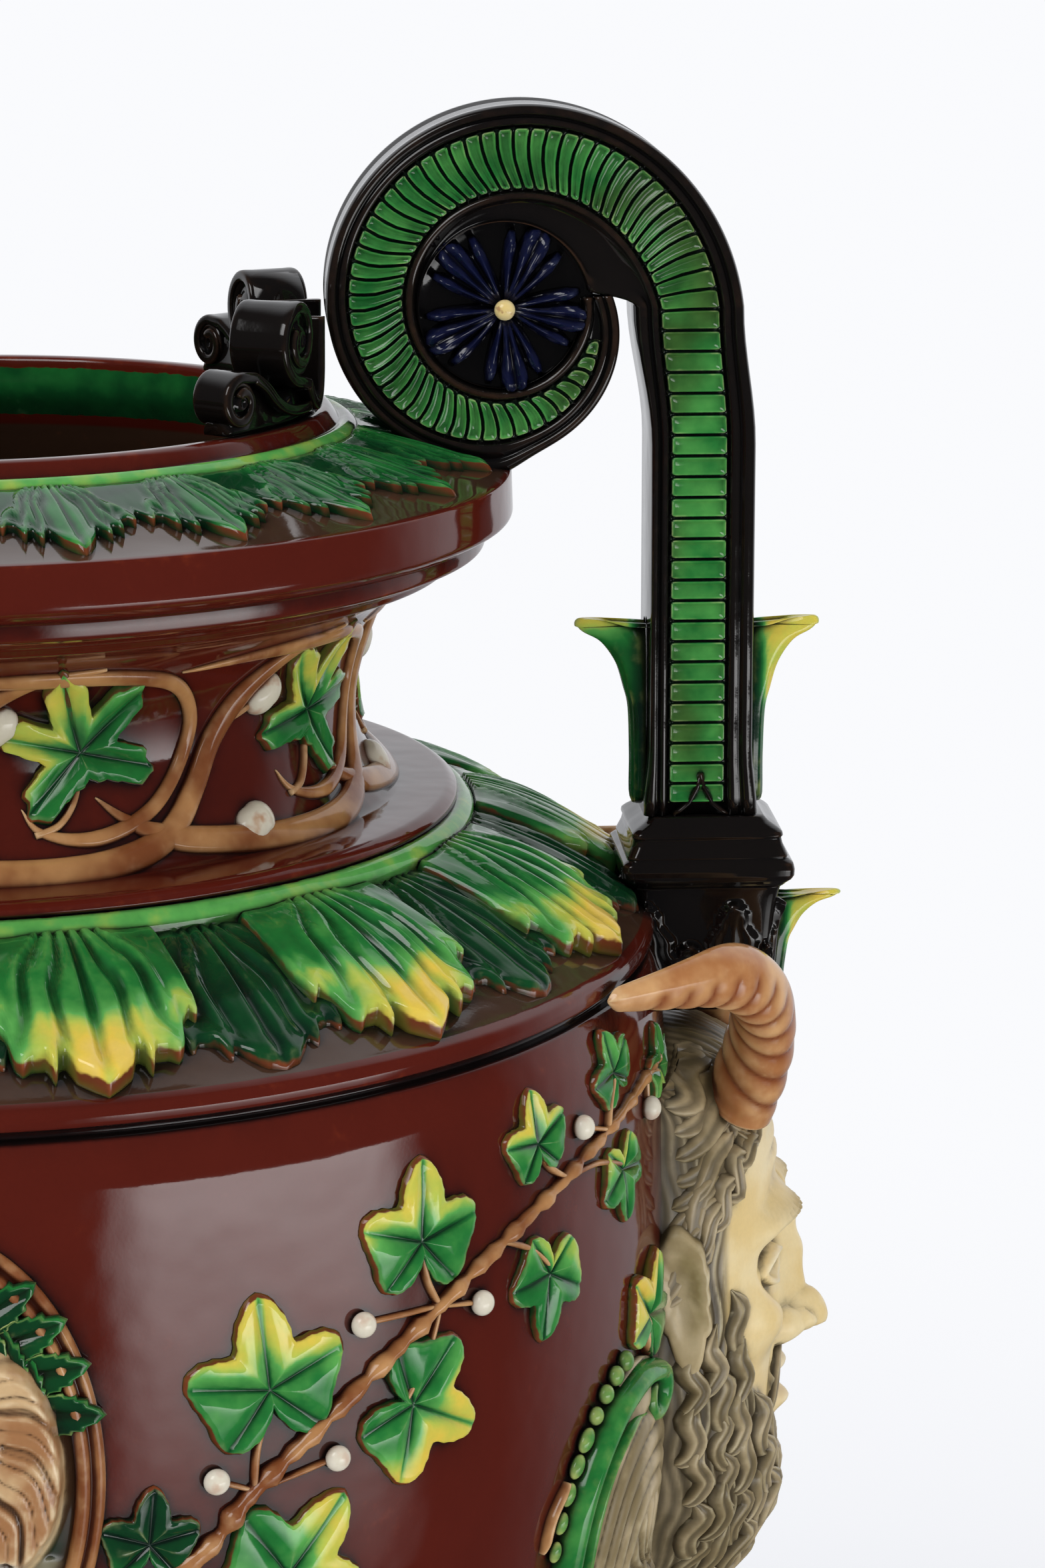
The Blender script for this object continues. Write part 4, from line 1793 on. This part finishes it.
def portrait(x, y):
    """Height in mm and paint at a point in mm: face, hair, drapery and field, each 0 to 1."""
    front = -20 * profile_front(min(max((y + 12) / 50, 0), 1)) + 2
    skull = max(1 - ((x + 1) / 20) ** 2 - ((y - 13) / 23) ** 2, 0) ** 0.5
    neck = ease((x + 11) / 5) * ease((8 - x) / 8) * ease((12 - y) / 10)
    inside = ease((x - front) / 3.5) if y > -10 else 1
    head = max(skull, 0.72 * neck) * inside
    face = 3 + 9 * head
    eye = hypot((x + 11.5) / 2.6, (y - 15) / 1.7)
    face += (1.1 * (1 - eye * eye) if eye < 1 else 0) - 1.6 * bell(hypot(x + 12, (y - 15.5) * 1.3), 0, 4.4)
    face += 0.9 * bell(y, 18.6, 1.3) * dome(x, -11.5, 6) + 0.8 * bell(y, 14, 0.6) * dome(x, -11.5, 4)
    face -= 0.9 * bell(y, 2.9 - 0.05 * (x + 17) ** 2 * 0.2, 0.5) * dome(x, -16, 4.5)
    flow_angle = math.atan2(y - 20, x + 14)
    flow_reach = hypot(x + 14, y - 20)
    wave = flow_angle * 9.5 + 1.3 * sin(flow_reach * 0.15 + flow_angle)
    wave += 0.3 * sin(flow_reach * 0.42 + flow_angle * 3)
    lock = 0.55 * abs(sin(wave)) ** 0.7 + 0.45 * abs(sin(wave * 2.6 + 0.8)) ** 0.8
    over = max(x - (-9 - 0.5 * (y - 24) if y > 22 else -8 + 0.1 * (22 - y) ** 1.35), (y - 29.5))
    body = 1 - ease((hypot((x - 12) / 26, (y - 6) / 36) - 0.78) / 0.26)
    hair = ease(over / 2.2) * body * (1 if x > front else 0)
    cloth_line = y - (-13 - 0.01 * (x + 14) ** 2 * (1 if x < -14 else 0.35))
    cloth = ease((-cloth_line) / 2) * (1 - 0.9 * ease((x - 16 + 0.2 * y) / 5))
    pleat = abs(sin((x + 18) * 0.62 + 0.03 * y * (x + 4) * 0.35)) ** 0.7
    field = 1 - ease(max(head * 5, hair * 3, cloth * 3))
    height = 2 * field + (1 - field) * face
    height = height + hair * (6.5 * body + 2.8 * lock + 1 - (height - 3) * 0.55)
    height = height * (1 - cloth) + cloth * (4 + 4.5 * ease((y + 62) / 30) + 2.2 * pleat)
    return height, hair, cloth, field, (1 - lock) * hair + (1 - pleat) * cloth * 0.5


bust = grid(124, 190, 1)
bust_layers = [store(bust, name) for name in ("hair", "cloth", "field", "dark")]
for vert in bust.verts:
    u, v = vert.co.x, vert.co.y
    x = 39.4 * u * sqrt(1 - v * v / 2)
    y = 61.4 * v * sqrt(1 - u * u / 2)
    edge = 1 - ease((hypot(x / 39.4, y / 61.4) - 0.8) / 0.18)
    height, *paint = portrait(x, y)
    vert.co = (x * MM, y * MM, min(1.2 + (height - 1.2) * edge, 12.6) * MM)
    for layer, value in zip(bust_layers, paint):
        vert[layer] = value
walled(bust, 2, -0.0008)
moved(bust, on_medallion)


def portrait_colours(tree):
    """Cream skin, light-brown hair, white drapery, and a dark green field."""
    drift = noise(tree, 70, 3)
    skin_tone = blend(tree, step(tree, drift, 0.35, 0.7), (0.76, 0.58, 0.3), (0.84, 0.7, 0.45))
    hair_tone = blend(tree, step(tree, drift, 0.38, 0.64), (0.36, 0.17, 0.07), (0.62, 0.42, 0.22))
    tone = blend(tree, attribute(tree, "field"), skin_tone, (0.004, 0.03, 0.014))
    tone = blend(tree, attribute(tree, "hair"), tone, hair_tone)
    tone = blend(tree, attribute(tree, "cloth"), tone, (0.7, 0.66, 0.54))
    tone = blend(tree, step(tree, attribute(tree, "dark"), 0.35, 1), tone, (0.14, 0.07, 0.03))
    thin = blend(tree, attribute(tree, "cloth"), (0.82, 0.66, 0.42), (0.84, 0.82, 0.74))
    thin = blend(tree, attribute(tree, "field"), thin, (0.02, 0.1, 0.04))
    return tone, thin, (0.06, 0.028, 0.014)


PORTRAIT = glazed("portrait_glaze", portrait_colours, 0.16, patch_size=45, patchiness=0.25, reach=0.004)
wreath_hem = tabled(thousandths(
    0, 1000, 50, 880, 90, 700, 120, 720, 170, 560, 200, 580, 280, 440, 330, 460, 450, 380, 550, 360, 700, 300,
    1000, 200,
))


def wreath_leaf(angle, share):
    turn = angle if angle < pi else tau - angle
    reach = 0.0155 * wreath_hem(turn / pi)
    away = abs(sin(turn)) * reach * share
    edge = rolled_edge(share, 0.86)
    rim = bell(share, 0.92, 0.05)
    return reach, (0.0008 + 0.0016 * (1 - bell(away, 0, 0.0012)) + 0.0003 * rim) * edge, 0.12 + 0.34 * rim, 0


leaf = pillow(48, wreath_leaf, 0.001)
wreath_leaves = []
for i in range(22):
    around_oval = radians(18 + 144 * (i + 0.5) / 22)
    inwards = 0.7 if i % 2 else 0.84
    x0, y0 = 0.0394 * inwards * cos(around_oval), 0.0614 * inwards * sin(around_oval)
    tip = around_oval - pi / 2 + (0.9 if i % 2 else -0.5)
    piece = moved(leaf.copy(), lambda x, y, h: (
        x0 + x * cos(tip) - y * sin(tip), y0 + y * cos(tip) + x * sin(tip), h + 0.0032 + (0.0012 if i % 2 else 0),
    ))
    wreath_leaves.append(moved(piece, on_medallion))
wreath = merged(wreath_leaves)
for facing, face in FACES:
    ring = placed_copy(frame_ring, 1, facing)
    placed("medallion_moulding_" + face, ring, VINE, "tan_glaze", "medallion_frame_" + face)
    placed("medallion_head_" + face, placed_copy(bust, 1, facing), PORTRAIT, "ivory_glaze", "medallion_bust_" + face)
    placed("medallion_wreath_" + face, placed_copy(wreath, 1, facing), SPUR_GREEN, "ivory_glaze", reach=0.001)

# Cartouches.
# Beside each mask is a ribbed shell in grey-brown with a green scroll along its outer edge, a row
# of green beads and a leaf at its top. All of it is pressed in one mould and painted.

CART_Z = -298


on_cartouche = on_wall(belly_radius, -0.206, 25, CART_Z * MM)
shell = grid(90, 108, 1)
shell_dark = store(shell, "dark")
for vert in shell.verts:
    u, v = vert.co.x, vert.co.y
    x = 40 * u * sqrt(1 - v * v / 2)
    y = 52 * v * sqrt(1 - u * u / 2)
    span = hypot(x / 40, y / 52)
    focus_x, focus_y = x - 12, y + 14
    reach = hypot(focus_x * 1.1, focus_y * 0.86)
    spread = math.atan2(focus_y, focus_x)
    ribs = abs(sin(reach * 0.5 + 0.35 * sin(spread * 5)))
    curl = abs(sin(spread * 7 + reach * 0.16))
    mix = ease((reach - 15) / 8)
    rib = ribs ** 0.7 * mix + curl ** 0.8 * (1 - mix)
    height = 1.5 + 4.6 * (1 - span * span) + 2 * rib * (1 - 0.6 * span)
    height += 5 * bell(hypot(x - 14, y + 20), 0, 7)
    vert.co = (x * MM, y * MM, max(height, 0.6) * MM)
    vert[shell_dark] = ease((0.42 - rib) / 0.42)
walled(shell, 2, -0.001)
moved(shell, on_cartouche)


def curled(points, turns, radius, way):
    """A path whose end rolls up into a small scroll."""
    end = Vector(points[-1])
    tangent = (end - Vector(points[-2])).normalized()
    centre = end + Vector((-tangent.y, tangent.x)) * radius * way
    start = math.atan2(end.y - centre.y, end.x - centre.x)
    tail = []
    for i in range(1, int(turns * 22) + 1):
        share = i / (turns * 22)
        angle = start + way * tau * turns * share
        reach = radius * (1 - 0.72 * share)
        tail.append((centre.x + reach * cos(angle), centre.y + reach * sin(angle)))
    return points + tail


def mm(points):
    return [(x * MM, y * MM) for x, y in points]


outer_scroll = curled(flowing(mm((
    (6, -50), (-14, -49), (-29, -38), (-38, -18), (-40, 4), (-34, 26), (-20, 42), (-2, 48), (14, 45),
))), 1.1, 0.0075, -1)
inner_scroll = flowing(mm(((0, -42), (-14, -40), (-25, -28), (-31, -8), (-29, 14), (-20, 30), (-6, 37), (8, 34))))
green_parts = [
    skin(strand(outer_scroll, tapered(0.0036, 0.4, 0.45), 0.0078)),
    skin(strand(inner_scroll, tapered(0.0016, 0.4, 0.4), 0.0068)),
]
for i in range(9):
    away = radians(100 + 8.6 * i)
    stretch = (1, 1 if i < 4 else 1.5, 0.8)
    place = (0.0455 * cos(away), 0.056 * sin(away), 0.0016)
    green_parts.append(ball((3.1 - 0.13 * i) * MM, 20, 14, stretch, place, away - pi))
green_parts = [moved(part, on_cartouche) for part in green_parts]
crest = pillow(112, leaf_cushion(IVY_HEM, IVY_VEINS, 0.0205, 0.0031, 0.44, 0.86, -70), 0.0012)
moved(crest, lambda x, y, h: (0.012 + x * 0.86 + y * 0.5, 0.062 + y * 0.86 - x * 0.5, h + 0.001))
twigs = [
    skin(strand(flowing(mm(points)), tapered(0.0011, 0.7, 0.4), 0.003))
    for points in (
        ((12, 50), (10, 56), (12, 62)), ((-40, 30), (-47, 22), (-50, 12)), ((-41, -24), (-48, -18), (-52, -22)),
        ((-12, -54), (-22, -58), (-30, -54)),
    )
]
twigs = [moved(part, on_cartouche) for part in twigs]
painted(shell, "hair", lambda radius, z: 1)
scroll_green, twig_set = merged(green_parts), merged(twigs)
painted(scroll_green, "tint", lambda radius, z: 0.44)
crest_leaf = moved(crest, on_cartouche)
cornered(
    ("shell_cartouche_", shell, BUFF, "green_glaze", "cartouche_", 0.0016),
    ("cartouche_scroll_", scroll_green, SPUR_GREEN, "green_glaze", None),
    ("cartouche_leaf_", crest_leaf, LEAF_GLAZE, "green_glaze", None),
    ("cartouche_twigs_", twig_set, VINE, "green_glaze", None),
)

# Calyx.
# Twelve broad leaves climb the bowl from its foot in one pressed collar, luted on over the seam
# where the bowl was joined to its seat; green with yellow tips, like the leaves on the shoulder.

CALYX_HEM = thousandths(
    0, 1000, 45, 975, 80, 930, 110, 945, 150, 905, 185, 840, 215, 860, 255, 815, 290, 740, 320, 760, 360, 700,
    410, 640, 460, 620, 500, 615,
)
CALYX_FLUTES = thousandths(
    0, 200, 20, 1000, 60, 350, 100, 950, 150, 250, 200, 850, 255, 200, 310, 750, 370, 200, 430, 600, 500, 0,
)


def bowl_point(share):
    """(radius, height) in m on the belly, from the groove (0) to the foot of the bowl (1)."""
    height = GROOVE_Z + (BODY_BOTTOM_Z + 0.0062 - GROOVE_Z) * sin(share * pi / 2)
    return belly_radius(height), height


def calyx_tint(across, t, ridge):
    yellow = ease((t - 0.62) / 0.32) * ease(1 - abs(across) / 0.4)
    return 0.2 + 0.18 * ridge + 0.46 * yellow + 0.12 * ease(1 - t / 0.12), ease((t - 0.955) / 0.04)


calyx_sheet = collar(
    bowl_point, 12, 84, 0.5, CALYX_HEM, CALYX_FLUTES, 0.0012, 0.0026, 0.0003, calyx_tint,
    start=0.945, way=-0.24,
)
placed("calyx_leaf_ring", calyx_sheet, LEAF_GLAZE, "green_glaze", "calyx_leaves")

# Socle.
# A turned spreading foot: a torus under the bowl, a scotia, a band of gadroons and a torus carved
# as a bound laurel wreath, painted green. Hollow underneath, with a web that the tie rod passes.

STEM_Z = 101
GADROONS = 22
WREATH_AXIS = (102.5, 30)
WREATH_ROUND = 8
WREATH_LEAVES = 60
WREATH_BANDS = 6

socle_points = [
    (58, 132.3, 1.2), (61.4, 131.2, 1.5), (63, 127.6, 2.6), (61.2, 124.2, 1.6), (57, 123.2, 0.5),
    (56.6, 121.4, 0.4), (53.2, 120.8, 0.6),
]
for share in (0.97 * (1 - i / 8) for i in range(9)):
    socle_points.append((40 + 13 * (1 - sqrt(1 - share * share)), STEM_Z + 18.6 * share, 0))
socle_points += [(40 + 16 * (i / 11) ** 1.8, STEM_Z - 32.5 * (i / 11), 0) for i in range(1, 12)]
socle_points += [(56.4, 66.8, 0.4), (59, 66, 0.6)]
socle_points += [(59 + 42.5 * (i / 18), 66 - 23.4 * (i / 18) ** 1.6, 0) for i in range(1, 19)]
socle_points += [(103.4, 42.2, 0.5), (103.6, 40.2, 0.5)]
for i in range(17):
    angle = radians(82 - 154 * i / 16)
    socle_points.append((
        WREATH_AXIS[0] + WREATH_ROUND * cos(angle), WREATH_AXIS[1] + WREATH_ROUND * sin(angle), 0,
    ))
socle_points += [
    (106.6, 22, 0.4), (106.6, 20.3, 0.5), (92, 20.3, 1), (60, 48.3, 6), (28, 68.3, 5), (23, 76.3, 1.5),
    (7.5, 76.3, 0.4), (7.5, 132.3, 0.4),
]


def laurel(along, across):
    """Height of the wreath's leaves, 0 to 1, at a place along it (in leaves) and across it (-1 to 1)."""
    best = 0
    for row, lead in ((-0.62, 0.5), (0.62, 0.5), (0, 0)):
        for back in (0, 1):
            place = (along + lead) % 1 + back
            share = place / 1.55
            if share < 1:
                width = 0.44 * sin(pi * share ** 0.8) + 0.02
                off = abs(across - row) / width
                if off < 1:
                    leaf = sqrt(1 - off * off) * (1 - 0.35 * share)
                    best = max(best, leaf - 0.22 * ease(1 - off / 0.22))
    return best


def socle_paint(bm):
    green, tint = store(bm, "green"), store(bm, "tint")
    store(bm, "dusty")
    for vert in bm.verts:
        radius = hypot(vert.co.x, vert.co.y) / MM
        height = vert.co.z / MM
        turn = math.atan2(vert.co.y, vert.co.x) / tau
        cut = 0
        outer = radius > 38 and height > 20.4
        ogee = 66 - 23.4 * min(max((radius - 59) / 42.5, 0), 1) ** 1.6
        if outer and 59.2 < radius < 101.4 and abs(height - ogee) < 1.5:
            lobe = abs(sin(pi * turn * GADROONS))
            end = ease((radius - 59.2) / 7) * ease((101.4 - radius) / 3)
            cut = 3 * (1 - lobe ** 0.55) * end
            vert.co.z -= cut * MM * 0.85
            vert[tint] = 0.1
        arm = (radius - WREATH_AXIS[0], height - WREATH_AXIS[1])
        if outer and radius > 102 and abs(hypot(*arm) - WREATH_ROUND) < 0.4:
            across = math.degrees(math.atan2(arm[1], arm[0])) / 76
            band = abs((turn * WREATH_BANDS) % 1 - 0.5) * tau * WREATH_AXIS[0] / WREATH_BANDS
            tied = ease((5.2 - band) / 1.2)
            leaf = laurel(turn * WREATH_LEAVES, across)
            edge = ease((1 - abs(across)) / 0.12)
            cut = 1.9 * edge * ((1 - leaf) * (1 - tied) + tied * 0.5 * ease((band - 3.4) / 0.8))
            shrink = (WREATH_ROUND - cut) / WREATH_ROUND
            radius = WREATH_AXIS[0] + arm[0] * shrink
            around = math.atan2(vert.co.y, vert.co.x)
            height = WREATH_AXIS[1] + arm[1] * shrink
            vert.co = (radius * MM * cos(around), radius * MM * sin(around), height * MM)
            vert[green] = edge * (1 - tied)
            vert[tint] = 0.16 + 0.4 * leaf
        if outer and 123.6 < height < 131.8 and radius > 58.5:
            vert[green] = 1
            vert[tint] = 0.42
    return bm


socle_ground = socle_paint(spun(rounded(socle_points, 5), 500))
placed("socle_glazed", socle_ground, RED_BROWN, "red_brown_glaze", "socle", reach=0.0014)

# Plinth.
# A round turned base with a chamfered top and a sunk band, fired separately; the socle stands on
# it in a seat of plaster. Its underside is bare and open for the nut of the tie rod.

plinth_profile = rounded([
    (93, 20, 0.8), (112, 20, 0.6), (113.4, 19, 0.6), (117.5, 18.6, 1.2), (121.6, 16.8, 1.2), (122.6, 14.6, 0.6),
    (125, 13.9, 0.9), (125, 11.6, 0.6), (123.7, 11, 0.5), (123.7, 4.6, 0.5), (125, 4, 0.6), (125, 0, 1),
    (93, 0, 1),
], 2.4)
plinth_ground = spun(plinth_profile, 216)
painted(plinth_ground, "green", lambda radius, z: 1 if radius < 0.1243 < 0.11 + z else 0)
painted(plinth_ground, "tint", lambda radius, z: 0.05)
painted(plinth_ground, "dusty", lambda radius, z: 0)
placed("plinth_glazed", plinth_ground, RED_BROWN, "red_brown_glaze", "plinth", reach=0.0014)

# Tie rod and its fittings.
# A zinc-plated rod, bought by the metre, clamps bowl, socle and plinth between two nuts; steel
# washers spread the load over cork ones, and a cork gasket beds the bowl on the socle.

STEEL = bpy.data.materials.new("zinc_steel")
STEEL.use_nodes = True
tree = STEEL.node_tree
spangle = add_node(tree, "TexVoronoi", {"Vector": object_place(tree), "Scale": 420}).outputs["Distance"]
cloud = noise(tree, 90, 4)
bump = add_node(tree, "Bump", {"Height": spangle, "Strength": 0.4, "Distance": 0.0001})
wire(tree, tree.nodes["Principled BSDF"], {
    "Metallic": 1, "Roughness": math_node(tree, "MULTIPLY_ADD", cloud, 0.25, 0.26),
    "Base Color": blend(tree, cloud, (0.42, 0.43, 0.44), (0.62, 0.63, 0.65)), "Normal": bump.outputs["Normal"],
})

CORK = bpy.data.materials.new("cork")
CORK.use_nodes = True
tree = CORK.node_tree
grain = {"Vector": object_place(tree), "Scale": 520}
shades = add_node(tree, "SeparateColor", {0: add_node(tree, "TexVoronoi", grain).outputs["Color"]}).outputs[0]
seam = add_node(tree, "TexVoronoi", grain, feature="DISTANCE_TO_EDGE").outputs[0]
tone = blend(tree, shades, (0.26, 0.14, 0.065), (0.56, 0.37, 0.2))
bump = add_node(tree, "Bump", {"Height": seam, "Strength": 0.6, "Distance": 0.0003})
wire(tree, tree.nodes["Principled BSDF"], {
    "Roughness": 0.85, "Base Color": blend(tree, step(tree, seam, 0, 0.12), (0.09, 0.045, 0.02), tone),
    "Normal": bump.outputs["Normal"],
})

for material, names in (
    (STEEL, ("tie_rod", "rod_nut_top", "rod_nut_bottom", "steel_washer_top", "steel_washer_bottom")),
    (CORK, ("cork_washer_top", "cork_washer_bottom", "foot_gasket")),
):
    for name in names:
        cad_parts[name].data.materials.clear()
        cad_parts[name].data.materials.append(material)

low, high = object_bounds()
{"cad": [list(cad_box[0]), list(cad_box[1])], "visual": [list(low), list(high)]}
